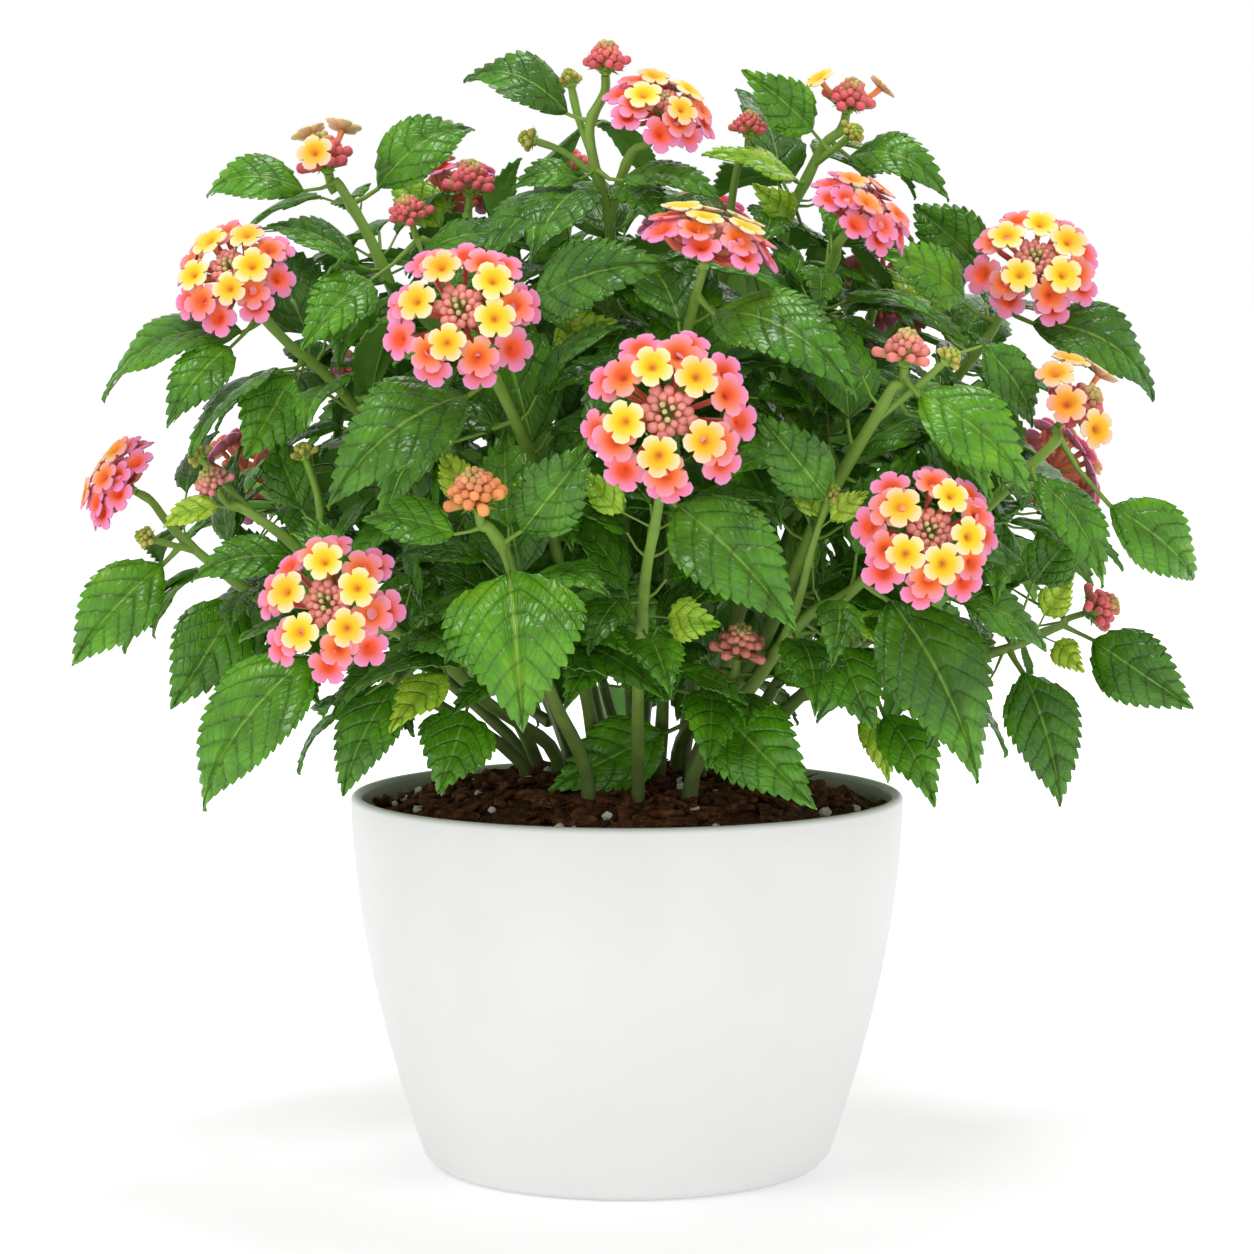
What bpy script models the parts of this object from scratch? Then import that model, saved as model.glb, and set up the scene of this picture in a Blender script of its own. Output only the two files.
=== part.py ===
"""Potted lantana: a white tapering pot, potting mix, leafy stems, flower heads and bud heads.

Metres, +Z up. The origin is the middle of the pot's flat base. The plant's places are given in
millimetres as (across, height, near): across and height as they appear on the upright plane
through the pot's axis to an eye in front of the plant, and near as the distance in front of
that plane.
"""

import math
import random
from dataclasses import dataclass, field

import bmesh
import bpy
from mathutils import Vector, noise
from mathutils.bvhtree import BVHTree

MM = 0.001
SEED = 11
GAP = 0.3 * MM
MERGE = 0.01 * MM
UP = Vector((0.0, 0.0, 1.0))

# Pot
RIM_RADIUS = 75.0 * MM
POT_HEIGHT = 101.0 * MM
FOOT_RADIUS = 54.5 * MM
FOOT_FLAT_RADIUS = 52.0 * MM
FOOT_ROUND = 3.0 * MM
FOOT_CORNER_OUT = 1.8 * MM
FOOT_CORNER_UP = 0.9 * MM
TAPER_POWER = 1.77
WALL = 3.1 * MM
LIP_ANGLES = (50.0, 90.0, 130.0)
FLOOR = 4.0 * MM
FLOOR_CORNER_UP = 2.5 * MM
FLOOR_CORNER_IN = 3.0 * MM
POT_SEGMENTS = 32
POT_WALL_ROWS = 3
DRAIN_COUNT = 4
DRAIN_SEGMENTS = 8
DRAIN_RADIUS = 4.0 * MM
DRAIN_RING = 26.0 * MM

# Soil
SOIL_EDGE = 94.0 * MM
SOIL_CROWN = 106.0 * MM
SOIL_RINGS = (0.36, 0.70, 1.0)
SOIL_SEGMENTS = 16
SOIL_HEAP_POWER = 2.2
SOIL_LUMP = 1.4 * MM
SOIL_LUMP_WIDTH = 14.0 * MM
SOIL_LUMP_FADE = 6
HOLE_REACH = 60.0 * MM
ROOT_LEVEL = 86.0 * MM

# Stems: square in section, as on the living plant
STEM_FOOT_RADIUS = 2.3 * MM
STEM_TIP_RADIUS = 1.3 * MM
TWIG_RADIUS = 1.15 * MM
PETIOLE_RADIUS = 0.75 * MM
HEAD_APPROACH = 5.0 * MM

# Leaves
LEAF_RATIO = 0.56
LEAF_RIB_THICKNESS = 1.3 * MM
LEAF_FOLD = 0.14
LEAF_ARCH = 0.10
LEAF_WIDEST = 0.72
LEAF_TAPER = 0.28
LEAF_FULLNESS = 1.04
LARGE_LEAF_STEPS = 8
SMALL_LEAF_STEPS = 6
TOOTH_REACH = 1.07
NOTCH_REACH = 0.88
TOOTH_FORWARD = 0.018
NOTCH_BACK = 0.006
RIB_STATIONS = (0.36, 0.70)
SMALL_RIB_STATIONS = (0.48,)
LARGE_LEAF = 33.0 * MM
PETIOLE_REACH = 6.0 * MM

# Room kept round what is in place: its own growth, then a leaf's thickness and width
CLEARANCE = 0.45 * MM
CLEAR_THICKNESS = 1.5
CLEAR_WIDTH = 1.04

# The bush's domed outline: half-widths across, back and front, and rise over and under its middle
BUSH_ACROSS = 0.146
BUSH_BACK = 0.142
BUSH_FRONT = BUSH_BACK * 0.8
BUSH_MIDDLE = 0.160
BUSH_RISE = 0.136
BUSH_DROP = 0.115
LOWEST_LEAF = 0.096
LOWEST_BY_RIM = 0.104

# Opposite pairs of leaves along a shoot
FIRST_PAIR = 14.0 * MM
LOWEST_PAIR = 0.122
PAIR_SPACING_MM = (15.0, 21.0)
PETIOLE_LENGTHS_MM = (7.0, 11.0)
LEAF_DROOP = (-0.55, 0.15)
LARGEST_PAIR_LEAF_MM = 46.0
SMALLEST_PAIR_LEAF_MM = 22.0
LEAF_GROWTH = 0.5
LEAF_SPREAD = (0.85, 1.1)
SWINGS = (0.0, 0.3, -0.3, 0.6, -0.6, 0.9, -0.9)
SHRINK_PER_SWING = 0.94

# Moves of a placed leaf along the line of sight, of its tip, and its shrinking
NEARER = (0, 3, -3, 6, -6, 9, -9, 12, -12, 16, -16, 20, -20)
TIP_NEARER = (0, 6, -6, 12, -12)
PLACED_SCALES = (1.0, 0.92, 0.84)

# Flower heads, drawn in millimetres for a head of this radius and scaled from it
HEAD_RADIUS = 23.2 * MM
HEAD_FACE = 13.0 * MM
OUTER_FLORETS = 8
INNER_FLORETS = 5
OUTER_LOBES = 5
INNER_LOBES = 4
NOTCH = 0.62
SEAT_RADIUS = 1.9
CORE_LOW = (6.4, 4.2)
CORE_HIGH = (6.0, 8.8)
CORE_COLLAR = (4.2, 10.6)
CORE_NECK = (3.4, 14.0)
CORE_BRIM = (5.6, 15.8)
CORE_CAP = 18.2
CORE_BUD = 1.1
FLORET_TURN = 0.7

# Bud domes, as shares of their radius
DOME_SEAT = 1.5 * MM
DOME_WIDE = (0.86, 0.55)
DOME_HIGH = (0.66, 1.15)
DOME_CAP = 1.42
DOME_MIDDLE = 0.6
BUD_RISE = 0.16
BUD_DEPTH = 0.9
BUD_SIDES = 6
SMALL_BUD_RADIUS = 3.6 * MM
SMALL_BUD_SIDES = 4
SMALL_BUD_SINK = 0.8 * MM

# Heads that have just begun to open
PART_DOME = 0.62
PART_SIDES = 7
PART_TILT = 42.0
PART_FLORET = 0.40
PART_LATERAL = 0.86
PART_HEIGHT = 1.15

# Stems whose crowded leaf bases the exact solver leaves open
EXACT_FAILS = ("leafy_stem_crown", "leafy_stem_low_right")

# The eye that the places are seen from, and its distance in millimetres
EYE = Vector((0.0, -1.060, 0.235))
SIGHT = 1060.0


def seen(across, height, near):
    """The point that appears at (across, height) on the plane y = 0, brought near to the eye."""
    plane = Vector((across, 0.0, height)) * MM
    return plane + (EYE - plane) * (near * MM / -EYE.y)


@dataclass
class Shoot:
    """A stem, side shoot or flower stalk along points, with the head it carries, if any."""

    points: list
    head: str = ""
    foot: float = STEM_FOOT_RADIUS
    tip: float = STEM_TIP_RADIUS
    rooted: bool = False


@dataclass
class Leaf:
    """A leaf from base to tip, the width it shows from the front, and how high it arches."""

    base: tuple
    tip: tuple
    shown: float
    arch: float = 3.0


@dataclass
class Head:
    """A flower head or bud head: the middle of its face, its axis and its radius."""

    face: tuple
    axis: tuple
    radius: float
    kind: str = "open"
    florets: tuple = ()
    back: bool = False


@dataclass
class LeafyStem:
    """A stem with all that grows from it in one piece."""

    name: str
    shoots: list
    leaves: list = field(default_factory=list)
    fill: int = 2


def stalk(points, head):
    """A full stem that stands in the soil and ends in a head."""
    return Shoot(points, head, rooted=True)


def twig(points, head=""):
    """A thin side shoot."""
    return Shoot(points, head, TWIG_RADIUS, TWIG_RADIUS)


HEADS = {
    "flower_head_crown": Head((10, 287.5, 58), (0.30, -0.55, 0.78), 15.2),
    "flower_head_upper_centre": Head((23.5, 253.5, 92), (0.26, -0.16, 0.95), 18.3),
    "flower_head_upper_right": Head((65, 260, 62), (0.55, -0.40, 0.73), 15.0),
    "flower_head_right": Head((110, 245.5, 38), (0.08, -0.84, 0.54), 17.9),
    "flower_head_left": Head((-107, 243, 46), (-0.30, -0.78, 0.55), 17.4),
    "flower_head_centre_left": Head((-45, 232, 105), (-0.04, -0.93, 0.36), 19.8),
    "flower_head_centre": Head((11, 204, 125), (0.03, -0.98, 0.14), 21.4),
    "flower_head_lower_right": Head((82, 172, 110), (0.16, -0.95, 0.26), 18.4),
    "flower_head_lower_left": Head((-81.5, 152.5, 110), (-0.20, -0.93, 0.30), 18.8),
    "flower_head_far_left": Head((-140, 187, 34), (-0.80, -0.30, 0.52), 14.5),
    "flower_head_far_right": Head((124.5, 208, 58), (0.55, -0.58, 0.60), 13.4, "part",
                                  (0, 1, 2, 5, 6)),
    "flower_head_top_left": Head((-82, 276, 22), (-0.20, -0.30, 0.93), 12.6, "part", (1, 4, 5)),
    "flower_head_top_right": Head((60.5, 291, 22), (0.22, -0.35, 0.91), 11.0, "part", (0, 4)),
    "flower_head_rear_top": Head((-49, 266, -26), (-0.15, 0.45, 0.88), 16.0, back=True),
    "flower_head_rear_upper": Head((20, 253, -84), (0.10, 0.72, 0.68), 18.5, back=True),
    "flower_head_rear_right": Head((72, 240, -22), (0.45, 0.70, 0.55), 16.0, back=True),
    "flower_head_rear_side": Head((118, 190, -52), (0.70, 0.60, 0.38), 17.0, back=True),
    "flower_head_rear_left": Head((-106, 188, -62), (-0.62, 0.70, 0.34), 16.5, back=True),
    "flower_head_rear_middle": Head((-66, 222, -104), (-0.32, 0.86, 0.40), 19.5, back=True),
    "flower_head_rear_centre": Head((52, 208, -122), (0.18, 0.92, 0.34), 20.0, back=True),
    "flower_head_rear_lower": Head((-14, 172, -138), (-0.05, 0.96, 0.26), 19.0, back=True),
    "bud_head_crown": Head((-5.5, 300.5, 47), (0.05, -0.30, 0.95), 6.4, "bud"),
    "bud_head_top": Head((33, 282.5, 22), (0.10, -0.20, 0.97), 5.2, "bud"),
    "bud_head_upper_left": Head((-59.3, 259.6, 43), (-0.25, -0.45, 0.85), 5.8, "bud"),
    "bud_head_rear_left": Head((-41.7, 268.4, 20), (0.10, -0.25, 0.96), 7.0, "bud"),
    "bud_head_right": Head((75.5, 223, 93), (0.08, -0.35, 0.93), 6.9, "bud"),
    "bud_head_front": Head((-41.6, 184.5, 110), (-0.15, -0.50, 0.85), 8.2, "bud"),
    "bud_head_low": Head((31, 143.2, 60), (0.15, -0.45, 0.88), 7.2, "bud"),
    "bud_head_far_right": Head((130, 151.7, 20), (0.92, -0.20, 0.33), 7.0, "bud"),
    "bud_head_far_left": Head((-113, 186.8, 52), (-0.45, -0.50, 0.74), 5.2, "bud"),
    "bud_head_rear_low": Head((84, 158, -98), (0.42, 0.76, 0.50), 7.0, "bud", back=True),
    "bud_head_rear_edge": Head((-86, 158, -92), (-0.48, 0.74, 0.48), 7.0, "bud", back=True),
    "bud_head_rear_crown": Head((-15, 272, -50), (-0.10, 0.30, 0.95), 6.4, "bud", back=True),
}

PLANT = [
    LeafyStem("leafy_stem_crown", [
        stalk([(2, 108, 0), (0, 150, 6), (-2, 200, 18), (-4, 235, 30), (-5, 258, 40),
               (-8.5, 269.4, 46), (-10, 281, 46.5)], "bud_head_crown"),
        Shoot([(-4.5, 256, 39), (-2, 266, 45), (1.5, 274, 48)], "flower_head_crown",
              1.6 * MM, 1.2 * MM),
        twig([(-8.6, 271, 46), (-13, 283, 43), (-15, 292, 41)], "bud"),
        twig([(-8, 267, 44.5), (-17, 274, 43), (-25, 277, 42)], "bud"),
        Shoot([(-2, 200, 18), (-12, 222, 45), (-22, 231, 64)], "", 1.7 * MM, 1.1 * MM),
    ], [
        Leaf((-16, 284.6, 46), (-44.4, 293, 40), 13, 8),
        Leaf((-13, 267, 52), (-31, 264.5, 54), 8, 4),
        Leaf((-1, 267, 56), (25.5, 261, 66), 8, 4),
        Leaf((-25, 234, 72), (11, 243.5, 92), 20, 5),
    ]),
    LeafyStem("leafy_stem_centre", [
        stalk([(9, 108, 13), (11, 150, 30), (13, 195, 56), (15.5, 222, 76),
             (18, 233, 84)], "flower_head_upper_centre"),
    ], [
        Leaf((24, 231, 92), (63.5, 211, 112), 20, 7),
    ], fill=4),
    LeafyStem("leafy_stem_upper_right", [
        stalk([(15, 108, -7), (23, 160, 2), (33, 205, 10), (38, 228, 16),
             (40.5, 242.7, 20), (43, 256, 20), (47.8, 265.8, 20), (53, 276, 20)],
            "flower_head_top_right"),
        Shoot([(25, 170, 4), (24.5, 215, 8), (27, 250, 16), (29.5, 269, 20)], "bud_head_top",
              1.7 * MM, 1.1 * MM),
        twig([(50, 270.5, 20), (56, 275, 25), (60, 278.5, 30)], "bud"),
    ], [
        Leaf((50, 279.5, 24), (30.8, 295.4, 30), 14, 4),
        Leaf((60, 273, 18), (87, 262.5, 26), 12, 7),
    ]),
    LeafyStem("leafy_stem_inner_right", [
        stalk([(20, 108, 7), (33, 160, 26), (45, 205, 36), (52.5, 236, 45),
             (56, 246, 50)], "flower_head_upper_right"),
    ], fill=4),
    LeafyStem("leafy_stem_right", [
        stalk([(28, 108, -2), (54, 152, 10), (76, 192, 20), (88, 212, 26),
             (97, 224, 27), (103, 234, 27)], "flower_head_right"),
    ], [
        Leaf((91, 234, 34), (67, 249, 44), 14, 4),
        Leaf((96, 243, 14), (77, 260.7, 4), 18, 3),
        Leaf((109.5, 228.6, 34), (143.7, 209.6, 30), 17, 8),
    ]),
    LeafyStem("leafy_stem_front_right", [
        stalk([(18, 108, 22), (37, 142, 44), (50, 172, 72), (61, 192.5, 84),
             (68, 204, 89), (72, 211, 91)], "bud_head_right"),
        twig([(66.5, 201.5, 88), (77, 210, 90), (86, 218, 92)], "bud"),
    ], [
        Leaf((79, 209, 93), (109.5, 183.3, 97), 20, 6),
        Leaf((80, 203, 74), (100, 181, 76), 10, 3),
        Leaf((96, 222, 62), (111, 200.8, 54), 13, 3),
    ]),
    LeafyStem("leafy_stem_far_right", [
        stalk([(31, 108, 12), (60, 140, 34), (85, 165, 47), (99.8, 181, 54),
             (111, 191.5, 57), (116, 197, 57)], "flower_head_far_right"),
        Shoot([(48, 127.5, 25), (75, 132, 30), (103.5, 140.3, 30), (112.3, 144.2, 25),
               (118, 146.5, 22)], "bud_head_far_right", 1.9 * MM, 1.1 * MM),
    ], [
        Leaf((111, 186, 62), (130, 157.6, 72), 14, 4),
        Leaf((131, 179, 46), (154, 158, 36), 18, 6),
        Leaf((110, 158, 42), (121, 172, 44), 15, 3),
        Leaf((126.3, 142.5, 25), (153.9, 123.5, 30), 20, 5),
        Leaf((107.8, 133.5, 36), (118.8, 97.3, 44), 20, 4),
        Leaf((70, 122, 36), (84, 97.4, 48), 15, 4),
    ]),
    LeafyStem("leafy_stem_low_right", [
        stalk([(18, 106, 38), (34, 130, 54), (48.5, 148.7, 70), (58.9, 154.3, 80),
             (68, 162, 91)], "flower_head_lower_right"),
        Shoot([(42, 141.5, 62.5), (47, 155, 79), (50, 167.5, 89), (54.5, 181, 95)], "bud",
              1.5 * MM, 1.0 * MM),
    ], [
        Leaf((71.3, 153.3, 84), (95.3, 103.5, 96), 28, 7),
        Leaf((90, 154, 86), (114.8, 140.5, 80), 11, 3),
        Leaf((54, 181, 100), (36, 205, 102), 17, 4),
        Leaf((58, 140.8, 66), (65.9, 117.7, 74), 17, 3),
    ]),
    LeafyStem("leafy_stem_front", [
        stalk([(3, 106, 39), (3, 128, 60), (4, 146, 82), (5.2, 161, 94),
             (8, 176, 104), (10, 190, 107)], "flower_head_centre"),
    ], [
        Leaf((13.5, 179, 108), (45.8, 145, 122), 26, 7),
    ]),
    LeafyStem("leafy_stem_front_left", [
        stalk([(-11, 106, 39), (-20, 126, 60), (-27, 147, 83), (-32, 164, 97),
             (-37.5, 173, 104)], "bud_head_front"),
    ], [
        Leaf((-32, 161, 104), (-27, 118.4, 120), 38, 7),
        Leaf((-28.5, 172, 104), (-9, 196, 110), 20, 4),
        Leaf((-46.7, 171.5, 104), (-72.2, 174.7, 100), 13, 4),
        Leaf((-14, 155, 74), (14, 142, 72), 18, 4),
    ]),
    LeafyStem("leafy_stem_centre_left", [
        stalk([(-8, 108, 20), (-14, 142, 42), (-21, 175, 64), (-27.5, 195.5, 80),
             (-33, 208, 88), (-38, 217, 92)], "flower_head_centre_left"),
    ], [
        Leaf((-43, 209, 94), (-82.7, 180.6, 104), 24, 8),
    ], fill=4),
    LeafyStem("leafy_stem_low_left", [
        stalk([(-19, 110, 5), (-30.5, 120.5, 20), (-38.8, 126, 35), (-49.8, 137, 55),
             (-61.5, 144, 74), (-68, 147, 84)], "flower_head_lower_left"),
    ], [
        Leaf((-86, 138, 72), (-116.2, 96, 74), 24, 7),
        Leaf((-63, 130.4, 60), (-77.5, 99.8, 64), 17, 4),
        Leaf((-43.6, 123.2, 44), (-51.1, 101, 56), 21, 2),
    ]),
    LeafyStem("leafy_stem_far_left", [
        stalk([(-28, 108, 7), (-60, 130, 22), (-84, 144, 32), (-102, 155.3, 35),
             (-116.5, 166.6, 33), (-124, 174, 32)], "flower_head_far_left"),
        Shoot([(-66, 133, 25), (-80, 155, 42), (-90, 168, 50), (-103, 177.5, 50)],
              "bud_head_far_left", 1.8 * MM, 1.1 * MM),
        twig([(-84, 160, 45), (-83, 178, 47), (-87, 192, 44)], "bud"),
        twig([(-99, 174.5, 50), (-108, 184, 45), (-115, 191.5, 40)], "bud"),
        twig([(-116.5, 166.6, 33), (-124, 168.5, 36), (-129, 170, 38)], "bud"),
    ], [
        Leaf((-126, 163, 34), (-151.7, 136, 36), 20, 5),
        Leaf((-91, 165, 56), (-118.3, 159.2, 60), 12, 4),
        Leaf((-105.4, 153, 40), (-123.3, 123.3, 48), 22, 5),
        Leaf((-88, 178, 36), (-96, 198, 28), 14, 2),
    ]),
    LeafyStem("leafy_stem_left", [
        stalk([(-24, 108, -6), (-45, 150, 8), (-63, 190, 23), (-78, 211, 33),
             (-91, 222.4, 38), (-99, 231, 40)], "flower_head_left"),
    ], [
        Leaf((-104, 226.3, 40), (-142.7, 209, 34), 11, 7),
        Leaf((-107, 222, 46), (-123.7, 200, 54), 14, 4),
        Leaf((-90, 214, 40), (-104, 192, 46), 20, 3),
    ], fill=4),
    LeafyStem("leafy_stem_upper_left", [
        stalk([(-14, 108, -12), (-32, 155, -2), (-50, 206, 10), (-64, 239, 19),
             (-69.5, 251.5, 20), (-74, 259.5, 20), (-78, 266, 20)], "flower_head_top_left"),
        Shoot([(-27, 142, -5), (-31, 195, 8), (-38, 236, 16), (-42.5, 255, 19)],
              "bud_head_rear_left", 1.9 * MM, 1.1 * MM),
        Shoot([(-37, 231, 15), (-46, 242, 30), (-54, 250, 38)], "bud_head_upper_left",
              1.3 * MM, 1.0 * MM),
    ], [
        Leaf((-87, 264, 24), (-113.6, 262, 20), 12, 7),
        Leaf((-67, 264.5, 14), (-41, 281, 4), 16, 8),
        Leaf((-72, 244, 28), (-100, 254, 26), 8, 4),
        Leaf((-69, 240, 42), (-88.6, 222, 58), 16, 4),
        Leaf((-55, 247, 46), (-26, 250.5, 52), 9, 4),
    ]),
    LeafyStem("leafy_stem_low", [
        stalk([(13.5, 111, 2), (20, 123, 25), (25, 133, 47)], "bud_head_low"),
    ], [
        Leaf((14, 129, 38), (-11.3, 137.4, 50), 14, 3),
        Leaf((39.9, 132.5, 54), (59.3, 142.6, 60), 13, 2),
        Leaf((25.8, 123, 42), (50.5, 96.5, 54), 24, 6),
        Leaf((10, 117, 36), (-21.4, 102, 52), 20, 3),
    ]),
    LeafyStem("leafy_stem_rear_top", [
        stalk([(-6, 111, -20), (-14, 150, -22), (-24, 205, -22), (-36, 245, -20)],
            "flower_head_rear_top"),
        Shoot([(-20, 182, -22.5), (-17, 220, -38), (-16, 252, -46)], "bud_head_rear_crown",
              1.7 * MM, 1.1 * MM),
    ], fill=4),
    LeafyStem("leafy_stem_rear_upper", [
        stalk([(4, 111, -22), (8, 155, -32), (13, 205, -50), (17, 235, -64)],
            "flower_head_rear_upper"),
    ], fill=4),
    LeafyStem("leafy_stem_rear_right", [
        stalk([(22, 110, -14), (38, 155, -16), (54, 200, -14), (64, 224, -12)],
            "flower_head_rear_right"),
    ], fill=4),
    LeafyStem("leafy_stem_rear_side", [
        stalk([(28, 110, -24), (58, 136, -34), (88, 162, -42), (104, 177, -42)],
            "flower_head_rear_side"),
    ], fill=4),
    LeafyStem("leafy_stem_rear_left", [
        stalk([(-27, 110, -18), (-56, 138, -28), (-80, 164, -42), (-93, 178, -50)],
            "flower_head_rear_left"),
    ], fill=4),
    LeafyStem("leafy_stem_rear_middle", [
        stalk([(-16, 112, -31), (-30, 145, -52), (-46, 185, -76), (-56, 205, -86)],
            "flower_head_rear_middle"),
        Shoot([(-21, 120, -38), (-46, 136, -60), (-68, 146, -78)], "bud_head_rear_edge",
              1.8 * MM, 1.1 * MM),
    ], fill=4),
    LeafyStem("leafy_stem_rear_centre", [
        stalk([(14, 112, -33), (27, 142, -56), (40, 178, -88), (46, 194, -100)],
            "flower_head_rear_centre"),
        Shoot([(19, 120, -42), (42, 136, -62), (66, 147, -80)], "bud_head_rear_low",
              1.8 * MM, 1.1 * MM),
    ], fill=4),
    LeafyStem("leafy_stem_rear_lower", [
        stalk([(-2, 112, -43), (-6, 128, -72), (-11, 152, -104), (-13, 162, -114)],
            "flower_head_rear_lower"),
    ], fill=4),
]


def clear_scene():
    """Remove every object that the file starts with."""
    for thing in list(bpy.data.objects):
        bpy.data.objects.remove(thing, do_unlink=True)


def material(name, colour, roughness, metallic=0.0):
    """A Principled material of one colour."""
    made = bpy.data.materials.new(name)
    made.use_nodes = True
    shader = made.node_tree.nodes["Principled BSDF"]
    shader.inputs["Base Color"].default_value = (*colour, 1.0)
    shader.inputs["Roughness"].default_value = roughness
    shader.inputs["Metallic"].default_value = metallic
    return made


def finish(bm, name, finish_material, smooth=False):
    """Turn a bmesh into a named object in the scene."""
    bmesh.ops.recalc_face_normals(bm, faces=bm.faces)
    mesh = bpy.data.meshes.new(name)
    bm.to_mesh(mesh)
    bm.free()
    mesh.materials.append(finish_material)
    if smooth:
        mesh.shade_smooth()
        mesh.set_sharp_from_angle(angle=math.radians(40.0))
    made = bpy.data.objects.new(name, mesh)
    bpy.context.scene.collection.objects.link(made)
    return made


def pot_outer_radius(height):
    """The pot's outer radius at a height above its base."""
    fall = (1.0 - height / POT_HEIGHT) ** TAPER_POWER
    return RIM_RADIUS - (RIM_RADIUS - FOOT_RADIUS) * fall


def pot_inner_radius(height):
    """The pot's inner radius at a height above its base."""
    return pot_outer_radius(height) - WALL


def pot_profile():
    """The closed section of the pot, from the axis under the base round to the axis above it."""
    points = [(0.0, 0.0), (FOOT_FLAT_RADIUS, 0.0),
              (FOOT_FLAT_RADIUS + FOOT_CORNER_OUT, FOOT_CORNER_UP)]
    for row in range(POT_WALL_ROWS + 1):
        height = FOOT_ROUND + (POT_HEIGHT - WALL / 2 - FOOT_ROUND) * row / POT_WALL_ROWS
        points.append((pot_outer_radius(height), height))
    lip = RIM_RADIUS - WALL / 2
    for angle in LIP_ANGLES:
        turn = math.radians(angle)
        points.append((lip + math.cos(turn) * WALL / 2,
                       POT_HEIGHT - WALL / 2 + math.sin(turn) * WALL / 2))
    for row in range(POT_WALL_ROWS, -1, -1):
        climb = POT_HEIGHT - WALL / 2 - FLOOR - FLOOR_CORNER_UP
        height = FLOOR + FLOOR_CORNER_UP + climb * row / POT_WALL_ROWS
        points.append((pot_inner_radius(height), height))
    points.append((pot_inner_radius(FLOOR) - FLOOR_CORNER_IN, FLOOR))
    points.append((0.0, FLOOR))
    return points


def turned(profile, segments):
    """A bmesh of a profile turned round the Z axis, closed at the axis."""
    bm = bmesh.new()
    verts = [bm.verts.new((radius, 0.0, height)) for radius, height in profile]
    edges = [bm.edges.new(pair) for pair in zip(verts, verts[1:])]
    bmesh.ops.spin(bm, geom=verts + edges, axis=(0, 0, 1), cent=(0, 0, 0), dvec=(0, 0, 0),
                   angle=math.tau, steps=segments, use_merge=True)
    bmesh.ops.remove_doubles(bm, verts=bm.verts, dist=MERGE)
    bmesh.ops.dissolve_degenerate(bm, edges=bm.edges, dist=MERGE)
    return bm


def cutter(bm, name):
    """A hidden tool object for a Boolean cut."""
    bmesh.ops.recalc_face_normals(bm, faces=bm.faces)
    mesh = bpy.data.meshes.new(name)
    bm.to_mesh(mesh)
    bm.free()
    tool = bpy.data.objects.new(name, mesh)
    bpy.context.scene.collection.objects.link(tool)
    tool.hide_render = True
    tool.display_type = "WIRE"
    return tool


def build_pot():
    """The pot, with drain holes through its floor."""
    pot = finish(turned(pot_profile(), POT_SEGMENTS), "pot",
                 material("matte_white", (0.86, 0.86, 0.85), 0.42), smooth=True)
    bm = bmesh.new()
    for index in range(DRAIN_COUNT):
        turn = math.tau * (index + 0.5) / DRAIN_COUNT
        made = bmesh.ops.create_cone(bm, cap_ends=True, segments=DRAIN_SEGMENTS,
                                     radius1=DRAIN_RADIUS, radius2=DRAIN_RADIUS, depth=FLOOR * 3)
        place = Vector((math.cos(turn) * DRAIN_RING, math.sin(turn) * DRAIN_RING, FLOOR / 2))
        bmesh.ops.translate(bm, verts=made["verts"], vec=place)
    cut = pot.modifiers.new("drain_holes", "BOOLEAN")
    cut.operation = "DIFFERENCE"
    cut.object = cutter(bm, "drain_cutter")
    return pot


def soil_height(x, y):
    """The height of the heaped mix at a place, with its lumps."""
    edge = pot_inner_radius(SOIL_EDGE) - GAP
    share = min(1.0, math.hypot(x, y) / edge)
    heap = SOIL_EDGE + (SOIL_CROWN - SOIL_EDGE) * (1.0 - share ** SOIL_HEAP_POWER)
    lump = noise.noise(Vector((x, y, 0.0)) / SOIL_LUMP_WIDTH) * SOIL_LUMP
    return heap + lump * (1.0 - share ** SOIL_LUMP_FADE)


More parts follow.
